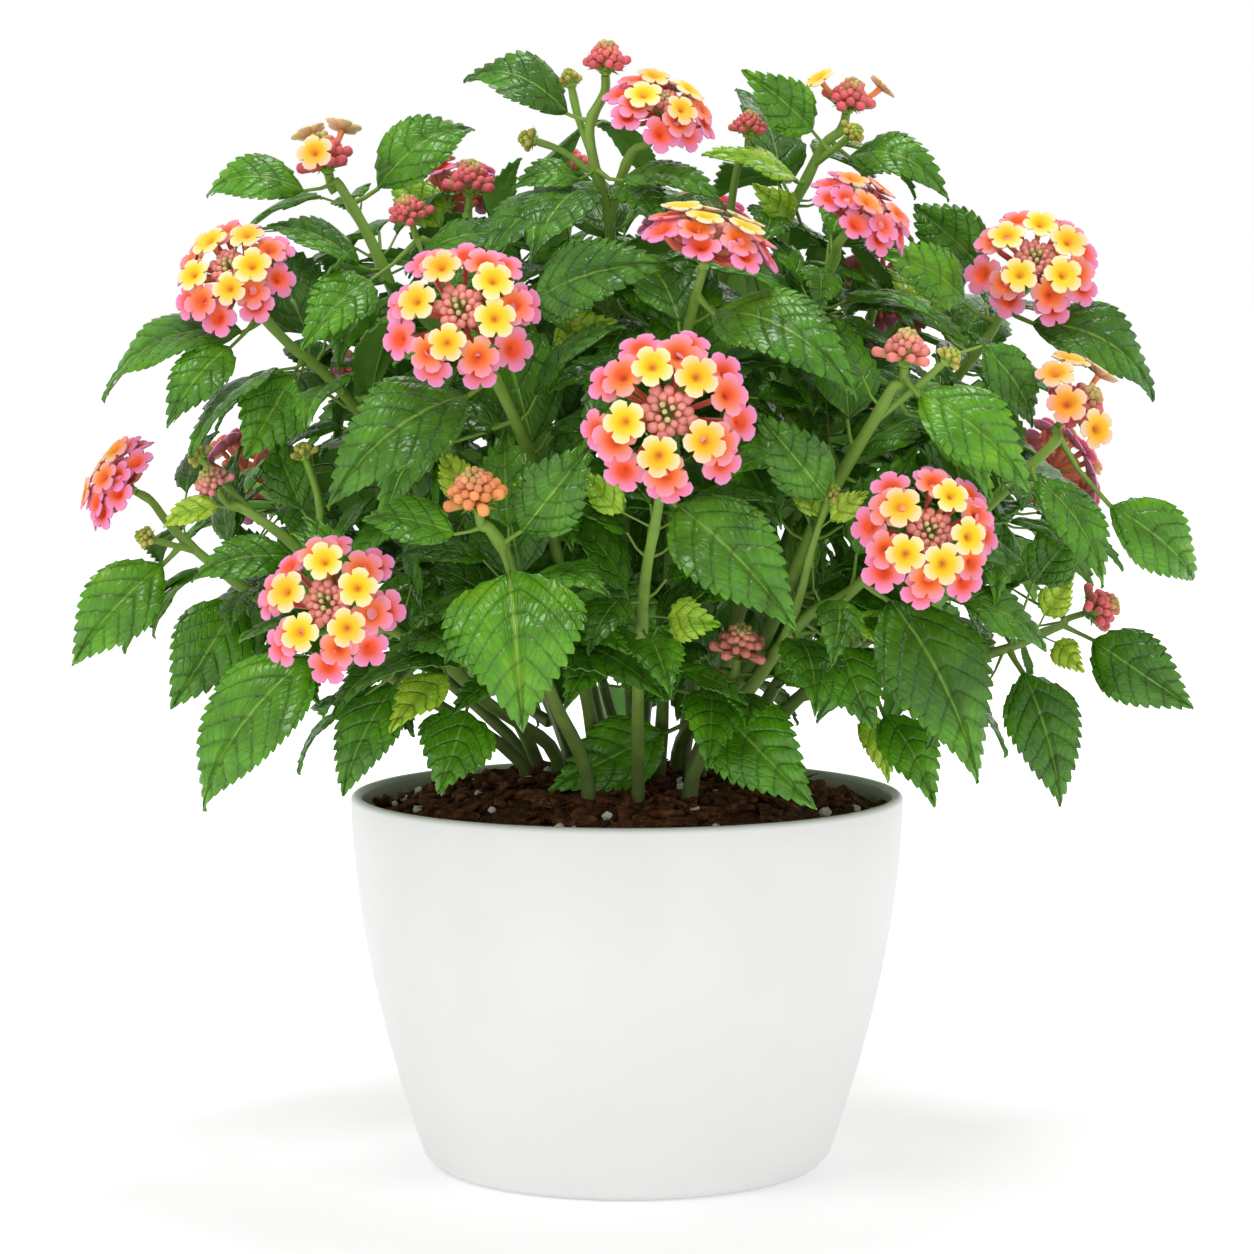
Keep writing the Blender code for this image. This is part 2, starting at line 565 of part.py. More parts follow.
def build_soil(feet):
    """The potting mix, filling the pot, with a plain square hole for each stem."""
    bm = bmesh.new()
    bottom = FLOOR + FLOOR_CORNER_UP + GAP
    edge = pot_inner_radius(SOIL_EDGE) - GAP
    low = pot_inner_radius(bottom) - GAP
    middle = (bottom + SOIL_EDGE) / 2
    rings = []
    for share in SOIL_RINGS:
        ring = []
        for index in range(SOIL_SEGMENTS):
            turn = math.tau * index / SOIL_SEGMENTS
            x, y = math.cos(turn) * edge * share, math.sin(turn) * edge * share
            ring.append(bm.verts.new((x, y, soil_height(x, y))))
        rings.append(ring)
    for radius, height in ((pot_inner_radius(middle) - GAP * 2, middle), (low, bottom)):
        rings.append([bm.verts.new((math.cos(math.tau * index / SOIL_SEGMENTS) * radius,
                                    math.sin(math.tau * index / SOIL_SEGMENTS) * radius, height))
                      for index in range(SOIL_SEGMENTS)])
    crown = bm.verts.new((0.0, 0.0, soil_height(0.0, 0.0)))
    for index in range(SOIL_SEGMENTS):
        after = (index + 1) % SOIL_SEGMENTS
        bm.faces.new((crown, rings[0][index], rings[0][after]))
        for inner, outer in zip(rings, rings[1:]):
            bm.faces.new((inner[index], outer[index], outer[after]))
            bm.faces.new((inner[index], outer[after], inner[after]))
    bm.faces.new(rings[-1])
    soil = finish(bm, "soil", material("potting_mix", (0.045, 0.022, 0.012), 0.95))
    bm = bmesh.new()
    for foot in feet:
        side = (STEM_FOOT_RADIUS + GAP) * 2
        made = bmesh.ops.create_cube(bm, size=1.0)
        bmesh.ops.scale(bm, vec=(side, side, HOLE_REACH), verts=made["verts"])
        bmesh.ops.translate(bm, vec=(foot.x, foot.y, foot.z - GAP + HOLE_REACH / 2),
                            verts=made["verts"])
    cut = soil.modifiers.new("stem_holes", "BOOLEAN")
    cut.operation = "DIFFERENCE"
    cut.object = cutter(bm, "hole_cutter")
    return soil


def across_frame(axis):
    """Two directions across an axis and across each other."""
    side = axis.cross(UP)
    if side.length < 0.2:
        side = axis.cross(Vector((1.0, 0.0, 0.0)))
    side.normalize()
    return side, side.cross(axis).normalized()


def ring_between(bm, lower, upper, centre, axis):
    """Join two rings of points round an axis with triangles."""
    side, rise = across_frame(axis)

    def angle(vert):
        arm = vert.co - centre
        return math.atan2(arm.dot(rise), arm.dot(side))

    one = sorted(lower, key=angle)
    two = sorted(upper, key=angle)
    turns_one = [angle(vert) for vert in one]
    turns_two = [angle(vert) for vert in two]
    turns_one += [turns_one[0] + math.tau]
    turns_two += [turns_two[0] + math.tau]
    step_one = step_two = 0
    while step_one < len(one) or step_two < len(two):
        first = one[step_one % len(one)]
        second = two[step_two % len(two)]
        move_one = step_two >= len(two) or (
            step_one < len(one) and turns_one[step_one + 1] <= turns_two[step_two + 1])
        if move_one:
            bm.faces.new((first, one[(step_one + 1) % len(one)], second))
            step_one += 1
        else:
            bm.faces.new((first, two[(step_two + 1) % len(two)], second))
            step_two += 1


def circle_points(centre, axis, radius, count, start=0.0):
    """Points on a circle round an axis."""
    side, rise = across_frame(axis)
    return [centre + side * (math.cos(start + math.tau * step / count) * radius)
            + rise * (math.sin(start + math.tau * step / count) * radius)
            for step in range(count)]


def poke(bm, face, rise):
    """Raise a small point from the middle of a face, as one closed bud."""
    face.normal_update()
    bmesh.ops.poke(bm, faces=[face], offset=rise)


def head_frame(head):
    """The seat of a head on its stalk, its axis, and its size against the drawn head."""
    axis = Vector(head.axis).normalized()
    size = head.radius * MM / HEAD_RADIUS
    depth = head.radius * MM * BUD_DEPTH if head.kind == "bud" else HEAD_FACE * size
    if head.kind == "part":
        depth = head.radius * MM * PART_DOME
    return seen(*head.face) - axis * depth, axis, size


@dataclass
class Floret:
    """The middle, direction and radius of one floret's face in a head's own frame."""

    middle: Vector
    normal: Vector
    radius: float


@dataclass
class FloretRow:
    """A ring of florets: tilt in degrees, then distance out, height and radius as drawn."""

    tilt: float
    lateral: float
    height: float
    radius: float


OUTER_ROW = FloretRow(50.0, 19.0, 8.6, 6.3)
INNER_ROW = FloretRow(20.0, 10.6, 16.6, 5.2)


def add_floret(bm, socket, floret, start, lobes):
    """Grow a lobed floret out of a socket on the core."""
    wide = circle_points(floret.middle, floret.normal, floret.radius, lobes * 2, start)
    narrow = circle_points(floret.middle, floret.normal, floret.radius * NOTCH, lobes * 2, start)
    outline = [point for pair in zip(wide[::2], narrow[1::2]) for point in pair]
    star = [bm.verts.new(point) for point in outline]
    middle = sum((vert.co for vert in socket), Vector()) / len(socket)
    ring_between(bm, socket, star, middle, (floret.middle - middle).normalized())
    notches = star[1::2]
    for step in range(lobes):
        bm.faces.new((notches[step - 1], star[step * 2], notches[step]))
    for step in range(1, lobes - 1):
        bm.faces.new((notches[0], notches[step], notches[step + 1]))


def open_head_mesh(size, spin):
    """An open head: core, outer and inner florets, and the closed buds in the middle."""
    bm = bmesh.new()
    unit = MM * size

    def ring(place, count, start):
        lateral, height = place
        points = circle_points(UP * height * unit, UP, lateral * unit, count, start)
        return [bm.verts.new(point) for point in points]

    half_outer = math.pi / OUTER_FLORETS
    half_inner = math.pi / INNER_FLORETS
    seat = ring((SEAT_RADIUS, 0.0), 4, spin)
    low = ring(CORE_LOW, OUTER_FLORETS, spin - half_outer)
    high = ring(CORE_HIGH, OUTER_FLORETS, spin - half_outer)
    collar = ring(CORE_COLLAR, INNER_FLORETS, spin - half_inner)
    neck = ring(CORE_NECK, INNER_FLORETS, spin - half_inner)
    brim = ring(CORE_BRIM, INNER_FLORETS, spin)
    bm.faces.new(seat)
    ring_between(bm, seat, low, Vector(), UP)
    ring_between(bm, high, collar, Vector(), UP)
    ring_between(bm, neck, brim, Vector(), UP)
    outer = head_florets(size, spin, outer=True)
    inner = head_florets(size, spin, outer=False)
    for florets, bottom, top, lobes in ((outer, low, high, OUTER_LOBES),
                                        (inner, collar, neck, INNER_LOBES)):
        count = len(florets)
        for step, floret in enumerate(florets):
            after = (step + 1) % count
            socket = [bottom[step], bottom[after], top[after], top[step]]
            add_floret(bm, socket, floret, step * FLORET_TURN, lobes)
    cap = bm.verts.new(UP * CORE_CAP * unit)
    for step in range(INNER_FLORETS):
        face = bm.faces.new((cap, brim[step], brim[(step + 1) % INNER_FLORETS]))
        if face.normal.z < 0:
            face.normal_flip()
        poke(bm, face, CORE_BUD * unit)
    return bm


def head_florets(size, spin, outer):
    """The outer or inner florets of an open head, in the order of their sockets."""
    unit = MM * size
    side, rise = across_frame(UP)
    count = OUTER_FLORETS if outer else INNER_FLORETS
    row = OUTER_ROW if outer else INNER_ROW
    tilt = math.radians(row.tilt)
    made = []
    for step in range(count):
        turn = spin + math.tau * step / count
        out = side * math.cos(turn) + rise * math.sin(turn)
        normal = out * math.sin(tilt) + Vector((0, 0, math.cos(tilt)))
        made.append(Floret((out * row.lateral + Vector((0, 0, row.height))) * unit, normal,
                           row.radius * unit))
    return made


def bud_dome(bm, radius, spin, sides):
    """A dome of closed buds on a flat seat; returns its faces above the widest ring."""
    seat = [bm.verts.new(point) for point in circle_points(Vector(), UP, DOME_SEAT, 4, spin)]
    reach, height = DOME_WIDE
    wide = [bm.verts.new(point) for point in
            circle_points(UP * radius * height, UP, radius * reach, sides, spin)]
    reach, height = DOME_HIGH
    high = [bm.verts.new(point) for point in
            circle_points(UP * radius * height, UP, radius * reach, sides,
                          spin + math.pi / sides)]
    cap = bm.verts.new(UP * radius * DOME_CAP)
    bm.faces.new(seat)
    ring_between(bm, seat, wide, Vector(), UP)
    before = set(bm.faces)
    ring_between(bm, wide, high, Vector(), UP)
    band = [face for face in bm.faces if face not in before]
    for step in range(sides):
        band.append(bm.faces.new((cap, high[step], high[(step + 1) % sides])))
    return band


def outward(face, middle):
    """Turn a face to point away from a middle point."""
    face.normal_update()
    if face.normal.dot(face.calc_center_median() - middle) < 0:
        face.normal_flip()


def bud_head_mesh(radius, spin):
    """A bud head: a dome of closed buds, each a small raised point."""
    bm = bmesh.new()
    for face in bud_dome(bm, radius, spin, BUD_SIDES):
        outward(face, Vector((0, 0, radius * DOME_MIDDLE)))
        poke(bm, face, radius * BUD_RISE)
    return bm


def part_head_mesh(radius, spin, places):
    """A head that has just begun to open: a bud dome with a few florets round its edge."""
    bm = bmesh.new()
    dome = radius * PART_DOME
    tilt = math.radians(PART_TILT)
    band = bud_dome(bm, dome, spin, PART_SIDES)
    wide = {vert for face in band for vert in face.verts
            if abs(vert.co.z - dome * DOME_WIDE[1]) < MERGE}
    sockets = [face for face in band
               if sum(1 for vert in face.verts if vert in wide) == 2]
    sockets.sort(key=lambda face: math.atan2(face.calc_center_median().y,
                                             face.calc_center_median().x))
    chosen = [sockets[place] for place in places]
    for face in band:
        if face in chosen:
            continue
        outward(face, Vector((0, 0, dome * DOME_MIDDLE)))
        poke(bm, face, dome * BUD_RISE)
    for face in chosen:
        out = face.calc_center_median()
        out.z = 0.0
        out.normalize()
        normal = out * math.sin(tilt) + Vector((0, 0, math.cos(tilt)))
        floret = Floret(out * radius * PART_LATERAL + Vector((0, 0, dome * PART_HEIGHT)), normal,
                        radius * PART_FLORET)
        socket = list(face.verts)
        bm.faces.remove(face)
        add_floret(bm, socket, floret, 0.3, OUTER_LOBES)
    return bm


def place_bmesh(bm, origin, axis):
    """Move a bmesh drawn about +Z to a place and direction."""
    turn = UP.rotation_difference(axis)
    for vert in bm.verts:
        vert.co = turn @ vert.co + origin


def head_bmesh(head, spin):
    """The bmesh of a head in its place."""
    seat, axis, size = head_frame(head)
    if head.kind == "bud":
        bm = bud_head_mesh(head.radius * MM, spin)
    elif head.kind == "part":
        bm = part_head_mesh(head.radius * MM, spin, head.florets)
    else:
        bm = open_head_mesh(size, spin)
    place_bmesh(bm, seat, axis)
    return bm


def shoot_path(shoot):
    """The shoot's points in place, led straight into the seat of its head."""
    points = [seen(*point) for point in shoot.points]
    if shoot.rooted:
        points.insert(0, Vector((points[0].x, points[0].y, ROOT_LEVEL)))
    if shoot.head in HEADS:
        seat, axis, _ = head_frame(HEADS[shoot.head])
        points += [seat - axis * HEAD_APPROACH, seat - axis * GAP]
    return points


def shoot_mesh(points, foot, end):
    """A square stem along points, thinning from foot to end, as a bevelled curve made mesh."""
    curve = bpy.data.curves.new("stem_path", "CURVE")
    curve.dimensions = "3D"
    curve.bevel_depth = 1.0
    curve.bevel_resolution = 0
    curve.use_fill_caps = True
    spline = curve.splines.new("POLY")
    spline.points.add(len(points) - 1)
    last = len(points) - 1
    for step, (spot, point) in enumerate(zip(spline.points, points)):
        spot.co = (*point, 1.0)
        spot.radius = foot + (end - foot) * step / last
    holder = bpy.data.objects.new("stem_path", curve)
    bpy.context.scene.collection.objects.link(holder)
    bpy.context.view_layer.update()
    drawn = holder.evaluated_get(bpy.context.evaluated_depsgraph_get())
    mesh = bpy.data.meshes.new_from_object(drawn)
    bpy.data.objects.remove(holder, do_unlink=True)
    bpy.data.curves.remove(curve)
    bm = bmesh.new()
    bm.from_mesh(mesh)
    bpy.data.meshes.remove(mesh)
    bmesh.ops.remove_doubles(bm, verts=bm.verts, dist=MERGE)
    bmesh.ops.triangulate(bm, faces=bm.faces)
    bmesh.ops.recalc_face_normals(bm, faces=bm.faces)
    return bm


@dataclass
class Blade:
    """A leaf in place: where its stalk starts, its base, direction, upper side and sizes."""

    root: Vector
    base: Vector
    along: Vector
    up: Vector
    length: float
    width: float
    arch: float
    large: bool = False

    def point(self, share, side):
        """The point at a share of the length and a distance to the side of the midrib."""
        lateral = self.along.cross(self.up)
        rise = self.arch * 4.0 * share * (1.0 - share) + abs(side) * LEAF_FOLD
        return self.base + self.along * (self.length * share) + lateral * side + self.up * rise


def half_width(blade, share):
    """Half the blade's width at a share of its length, without teeth."""
    full = math.sin(math.pi * share ** LEAF_WIDEST) * (1.0 - LEAF_TAPER * share * share)
    return blade.width / 2 * full * LEAF_FULLNESS


def leaf_bmesh(blade, thick=LEAF_RIB_THICKNESS, grow=1.0):
    """A toothed blade, thickest at its midrib, with its stalk, as one closed bmesh."""
    bm = bmesh.new()
    lateral = blade.along.cross(blade.up)
    steps = LARGE_LEAF_STEPS if blade.large else SMALL_LEAF_STEPS
    stations = RIB_STATIONS if blade.large else SMALL_RIB_STATIONS
    stalk = PETIOLE_RADIUS
    base = {1: bm.verts.new(blade.base + blade.up * stalk),
            -1: bm.verts.new(blade.base - blade.up * stalk)}
    flank = {1: bm.verts.new(blade.base + lateral * stalk),
             -1: bm.verts.new(blade.base - lateral * stalk)}
    end = bm.verts.new(blade.point(1.0, 0.0))
    ribs = {side: [bm.verts.new(blade.point(share, 0.0) + blade.up * side * thick / 2)
                   for share in stations] for side in (1, -1)}
    edges = {}
    for side in (1, -1):
        edges[side] = []
        for step in range(1, steps):
            tooth = step % 2 == 1
            share = step / steps + (TOOTH_FORWARD if tooth else -NOTCH_BACK)
            reach = half_width(blade, share) * (TOOTH_REACH if tooth else NOTCH_REACH) * grow
            edges[side].append((share, bm.verts.new(blade.point(share, reach * side))))
    for face_side in (1, -1):
        rib_line = [(0.0, base[face_side])]
        rib_line += list(zip(stations, ribs[face_side])) + [(1.0, end)]
        for side in (1, -1):
            edge_line = [(0.0, flank[side])] + edges[side] + [(1.0, end)]
            zip_lines(bm, rib_line, edge_line)
    leaf_stalk(bm, blade, base, flank)
    bmesh.ops.recalc_face_normals(bm, faces=bm.faces)
    return bm


def zip_lines(bm, rib_line, edge_line):
    """Fill between the midrib and one edge, both ending in the tip, with triangles."""
    rib = edge = 0
    while rib < len(rib_line) - 1 or edge < len(edge_line) - 1:
        rib_next = rib_line[rib + 1][0] if rib < len(rib_line) - 1 else 2.0
        edge_next = edge_line[edge + 1][0] if edge < len(edge_line) - 1 else 2.0
        if rib_next >= 1.0 and edge_next >= 1.0:
            bm.faces.new((rib_line[rib][1], edge_line[edge][1], rib_line[-1][1]))
            return
        middle = (rib_line[rib][0] + min(rib_next, 1.0)) / 2
        if rib_next >= 1.0 or edge_next <= middle or edge_next <= edge_line[edge][0]:
            bm.faces.new((rib_line[rib][1], edge_line[edge][1], edge_line[edge + 1][1]))
            edge += 1
        else:
            bm.faces.new((rib_line[rib][1], edge_line[edge][1], rib_line[rib + 1][1]))
            rib += 1


def leaf_stalk(bm, blade, base, flank):
    """The leaf's stalk, from its blade back into the stem."""
    corners = [base[1], flank[1], base[-1], flank[-1]]
    shift = blade.root - blade.base
    rear = [bm.verts.new(vert.co + shift) for vert in corners]
    for step in range(4):
        after = (step + 1) % 4
        bm.faces.new((corners[step], corners[after], rear[after]))
        bm.faces.new((corners[step], rear[after], rear[step]))
    bm.faces.new(rear)


def shifted(place, nearer, drop=0.0):
    """The same place in the view, brought nearer or further, and lowered."""
    across, height, near = place
    return (across, height - drop, near + nearer)


def hand_blade(leaf, lines, nearer=0.0, tip_nearer=0.0, scale=1.0):
    """A leaf read from the front, with its stalk rooted on the closest of its shoots."""
    base = seen(*shifted(leaf.base, nearer))
    end = seen(*shifted(leaf.tip, nearer + tip_nearer))
    along = (end - base).normalized()
    length = (end - base).length * scale
    shown = leaf.shown * MM * (1.0 - leaf.base[2] / SIGHT)
    width = max(LEAF_RATIO * length, shown)
    share = min(1.0, shown / width)
    toward = (EYE - base).normalized()
    facing = (toward - along * toward.dot(along)).normalized()
    over = along.cross(facing)
    if over.z < 0:
        over.negate()
    up = (facing * share + over * math.sqrt(max(0.0, 1.0 - share * share))).normalized()
    root = closest_on(lines, base - along * PETIOLE_REACH)
    return Blade(root, base, along, up, length, width, leaf.arch * MM, length > LARGE_LEAF)


def closest_on(lines, point):
    """The closest point on any of several lines."""
    best = None
    for line in lines:
        for start, stop in zip(line, line[1:]):
            run = stop - start
            share = max(0.0, min(1.0, (point - start).dot(run) / run.length_squared))
            spot = start + run * share
            if best is None or (spot - point).length < (best - point).length:
                best = spot
    return best


class Space:
    """What is already in place, for keeping leaves clear of it."""

    def __init__(self):
        self.taken = []

    def add(self, bm, owner):
        """Keep a bmesh, and an outer copy of it a little larger."""
        bm.normal_update()
        grown = bm.copy()
        for vert in grown.verts:
            vert.co += vert.normal * CLEARANCE
        low, high = bounds(grown)
        self.taken.append((owner, low, high, BVHTree.FromBMesh(grown)))
        grown.free()

    def meets(self, bm):
        """The owners of what a bmesh crosses."""
        low, high = bounds(bm)
        tree = BVHTree.FromBMesh(bm)
        hit = []
        for other, other_low, other_high, other_tree in self.taken:
            apart = any(low[i] > other_high[i] or high[i] < other_low[i] for i in range(3))
            if not apart and tree.overlap(other_tree):
                hit.append(other)
        return hit


def bounds(bm):
    """The lowest and highest corner of a bmesh."""
    low = [min(vert.co[i] for vert in bm.verts) for i in range(3)]
    high = [max(vert.co[i] for vert in bm.verts) for i in range(3)]
    return low, high


def blade_clear(space, blade, stem):
    """Whether a leaf clears the rest: its blade clears its own stem's parts too."""
    whole = leaf_bmesh(blade, LEAF_RIB_THICKNESS * CLEAR_THICKNESS, CLEAR_WIDTH)
    if not all(above_pot(vert.co) for vert in whole.verts
               if (vert.co - blade.base).dot(blade.along) > -1.0 * MM):
        whole.free()
        return False
    if any(not other.startswith(stem + ":") for other in space.meets(whole)):
        whole.free()
        return False
    rear = [vert for vert in whole.verts
            if (vert.co - blade.base).dot(blade.along) < 2.0 * MM]
    bmesh.ops.delete(whole, geom=rear, context="VERTS")
    hit = space.meets(whole)
    whole.free()
    return not hit


def above_pot(point):
    """Whether a point is clear of the soil and of the pot's rim."""
    reach = math.hypot(point.x, point.y)
    if reach > RIM_RADIUS + 1.5 * MM:
        return True
    if reach > pot_inner_radius(SOIL_EDGE):
        return point.z > POT_HEIGHT + 1.0 * MM
    return point.z > soil_height(point.x, point.y) + 1.0 * MM


def in_envelope(point):
    """Whether a point lies inside the bush's domed outline."""
    x, y, z = point
    if z < LOWEST_BY_RIM and math.hypot(x, y) < RIM_RADIUS + 4.0 * MM:
        return False
    if z < LOWEST_LEAF:
        return False
    deep = BUSH_BACK if y > 0 else BUSH_FRONT
    rise = (z - BUSH_MIDDLE) / (BUSH_RISE if z > BUSH_MIDDLE else BUSH_DROP)
    return (x / BUSH_ACROSS) ** 2 + (y / deep) ** 2 + rise ** 2 < 1.0


def hides_front(blade):
    """Whether a leaf would stand before a flower head as seen from the front."""
    for share in (0.1, 0.3, 0.5, 0.7, 0.9, 1.0):
        for side in (-0.4, 0.0, 0.4):
            spot = blade.point(share, side * blade.width)
            if spot.y > -20.0 * MM:
                continue
            scale = EYE.y / (EYE.y - spot.y)
            across = spot.x * scale
            height = EYE.z + (spot.z - EYE.z) * scale
            for head in HEADS.values():
                if head.back:
                    continue
                gap = math.hypot(across - head.face[0] * MM, height - head.face[1] * MM)
                if gap < (head.radius + 3.0) * MM and -spot.y > (head.face[2] - 14.0) * MM:
                    return True
    return False


def rule_blade(rng, spot, run, turn, size):
    """A leaf of the opposite pairs along a shoot, drooping outwards."""
    side, rise = across_frame(run)
    out = side * math.cos(turn) + rise * math.sin(turn)
    away = Vector((spot.x, spot.y, 0.0))
    if away.length > 1.0 * MM:
        away.normalize()
    petiole = (out * 0.9 + run * 0.35 + Vector((0, 0, 0.25))).normalized()
    base = spot + petiole * rng.uniform(*PETIOLE_LENGTHS_MM) * MM
    along = (out + away * 0.55 + Vector((0, 0, rng.uniform(*LEAF_DROOP)))).normalized()
    up = Vector((away.x * 0.5, away.y * 0.5, 1.0))
    up = (up - along * up.dot(along)).normalized()
    return Blade(spot, base, along, up, size, size * LEAF_RATIO, size * LEAF_ARCH)


def line_spot(line, distance):
    """The point and direction at a distance back from the end of a line."""
    left = distance
    for start, stop in zip(reversed(line[:-1]), reversed(line[1:])):
        run = stop - start
        if left <= run.length:
            return stop - run.normalized() * left, run.normalized()
        left -= run.length
    return None


def fill_leaves(space, stem, lines, rng):
    """Opposite pairs of leaves along the shoots of a stem, wherever they have room."""
    made = []
    for line in lines:
        place = FIRST_PAIR
        quarter = rng.uniform(0.0, math.tau)
        while len(made) < stem.fill:
            found = line_spot(line, place)
            if found is None or found[0].z < LOWEST_PAIR:
                break
            spot, run = found
            for half in (0, 1):
                size = min(LARGEST_PAIR_LEAF_MM, SMALLEST_PAIR_LEAF_MM + place / MM * LEAF_GROWTH)
                size = size * rng.uniform(*LEAF_SPREAD) * MM
                blade = roomy_blade(space, stem, spot, run, quarter + math.pi * half, size, rng)
                if blade:
                    made.append(blade)
            place += rng.uniform(*PAIR_SPACING_MM) * MM
            quarter += math.pi / 2
    return made


def roomy_blade(space, stem, spot, run, turn, size, rng):
    """The first of several tries at a leaf that clears the rest and stays in the bush."""
    for attempt, swing in enumerate(SWINGS):
        blade = rule_blade(rng, spot, run, turn + swing, size * (SHRINK_PER_SWING ** attempt))
        if not in_envelope(blade.point(1.0, 0.0)) or not in_envelope(blade.point(0.5, 0.0)):
            continue
        if not hides_front(blade) and take_room(space, stem, blade):
            return blade
    return None


def placed_hand_leaf(space, stem, leaf, lines):
    """A leaf read from the front, moved along the line of sight until it clears the rest."""
    for scale in PLACED_SCALES:
        for nearer in NEARER:
            for tip_nearer in TIP_NEARER:
                blade = hand_blade(leaf, lines, nearer, tip_nearer, scale)
                if take_room(space, stem, blade):
                    return blade
    return None


def take_room(space, stem, blade):
    """Keep a leaf's room if it clears the rest."""
    if not blade_clear(space, blade, stem.name):
        return False
    bm = leaf_bmesh(blade)
    space.add(bm, stem.name + ":" + str(len(space.taken)))
    bm.free()
    return True


@dataclass
class Grown:
    """A leafy stem worked out in place."""

    stem: LeafyStem
    lines: list
    blades: list = field(default_factory=list)


def small_bud(line):
    """The bmesh of a small green bud head fused on the end of a twig."""
    axis = (line[-1] - line[-2]).normalized()
    bm = bmesh.new()
    bud_dome(bm, SMALL_BUD_RADIUS, 0.4, SMALL_BUD_SIDES)
    place_bmesh(bm, line[-1] - axis * SMALL_BUD_SINK, axis)
    return bm


def grow_plant():
    """Work out every stem, head and leaf so that no two nodes cross."""
    rng = random.Random(SEED)
    space = Space()
    spins = {}
    for name, head in HEADS.items():
        spins[name] = rng.uniform(0.0, math.tau)
        bm = head_bmesh(head, spins[name])
        space.add(bm, name)
        bm.free()
    grown = []
    for stem in PLANT:
        lines = [shoot_path(shoot) for shoot in stem.shoots]
        grown.append(Grown(stem, lines))
        for shoot, line in zip(stem.shoots, lines):
            bm = shoot_mesh(line, shoot.foot, shoot.tip)
            space.add(bm, stem.name + ":stem")
            bm.free()
            if shoot.head == "bud":
                bm = small_bud(line)
                space.add(bm, stem.name + ":bud")
                bm.free()
    for one in grown:
        for leaf in one.stem.leaves:
            blade = placed_hand_leaf(space, one.stem, leaf, one.lines)
            if blade:
                one.blades.append(blade)
            else:
                print("no room for", one.stem.name, leaf)
    for one in grown:
        one.blades += fill_leaves(space, one.stem, one.lines, rng)
    return grown, spins


def joined(name, parts, finish_material):
    """One body of a stem and all that grows from it, by a union of the whole collection."""
    first = finish(parts[0], name, finish_material)
    group = bpy.data.collections.new(name + "_parts")
    for number, bm in enumerate(parts[1:]):
        piece = finish(bm, name + "_part_" + str(number), finish_material)
        bpy.context.scene.collection.objects.unlink(piece)
        group.objects.link(piece)
    bpy.context.scene.collection.children.link(group)
    union = first.modifiers.new("grow_together", "BOOLEAN")
    union.operation = "UNION"
    union.operand_type = "COLLECTION"
    union.collection = group
    union.solver = "MANIFOLD" if name in EXACT_FAILS else "EXACT"
    bpy.context.view_layer.update()
    drawn = first.evaluated_get(bpy.context.evaluated_depsgraph_get())
    mesh = bpy.data.meshes.new_from_object(drawn)
    first.modifiers.clear()
    first.data = mesh
    for piece in list(group.objects):
        bpy.data.objects.remove(piece, do_unlink=True)
    bpy.data.collections.remove(group)
    return first


def main():
    """Build the potted plant."""
    clear_scene()
    build_pot()
    grown, spins = grow_plant()
    build_soil([one.lines[0][0] for one in grown])
    foliage = material("leaf_green", (0.055, 0.18, 0.030), 0.45)
    petals = material("petal_pink_and_yellow", (0.90, 0.36, 0.22), 0.55)
    buds = material("bud_coral", (0.62, 0.13, 0.10), 0.6)
    for name, head in HEADS.items():
        finish(head_bmesh(head, spins[name]), name, buds if head.kind == "bud" else petals)
    for one in grown:
        parts = []
        for shoot, line in zip(one.stem.shoots, one.lines):
            parts.append(shoot_mesh(line, shoot.foot, shoot.tip))
            if shoot.head == "bud":
                parts.append(small_bud(line))
        parts += [leaf_bmesh(blade) for blade in one.blades]
        joined(one.stem.name, parts, foliage)


main()
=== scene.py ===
"""Looks of a potted lantana: a matt white tapering pot, bark mix, leafy stems and flower heads.

Metres, +Z up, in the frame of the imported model. The plant's places are in millimetres as
(across, height, near): across and height as they appear on the upright plane through the pot's
axis to an eye in front of the plant, and near as the distance in front of that plane.
"""

import logging
import math
import random
from dataclasses import dataclass, field, replace
from enum import Enum
from itertools import product
from typing import Iterable, Iterator, Optional, Sequence

import bpy
import numpy as np
from mathutils import Matrix, Vector, noise
from mathutils.bvhtree import BVHTree
from mathutils.kdtree import KDTree

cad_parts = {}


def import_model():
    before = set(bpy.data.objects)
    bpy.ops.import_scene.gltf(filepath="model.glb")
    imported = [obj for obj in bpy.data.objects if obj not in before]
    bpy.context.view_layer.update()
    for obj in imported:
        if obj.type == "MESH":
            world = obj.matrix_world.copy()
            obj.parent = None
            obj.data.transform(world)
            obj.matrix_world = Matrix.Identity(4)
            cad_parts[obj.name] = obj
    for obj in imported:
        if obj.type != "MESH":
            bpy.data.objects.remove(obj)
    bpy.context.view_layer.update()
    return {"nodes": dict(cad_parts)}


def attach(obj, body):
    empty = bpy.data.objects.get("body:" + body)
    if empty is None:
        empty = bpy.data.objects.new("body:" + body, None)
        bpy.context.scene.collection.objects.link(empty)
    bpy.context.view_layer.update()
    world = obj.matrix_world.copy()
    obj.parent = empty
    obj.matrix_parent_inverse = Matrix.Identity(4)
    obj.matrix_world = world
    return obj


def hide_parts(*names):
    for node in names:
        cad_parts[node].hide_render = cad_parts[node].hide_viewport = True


MM = 0.001
SEED = 11
EYE = Vector((0.0, -1.060, 0.235))
UP = Vector((0.0, 0.0, 1.0))
GOLDEN_TURN = math.radians(137.508)

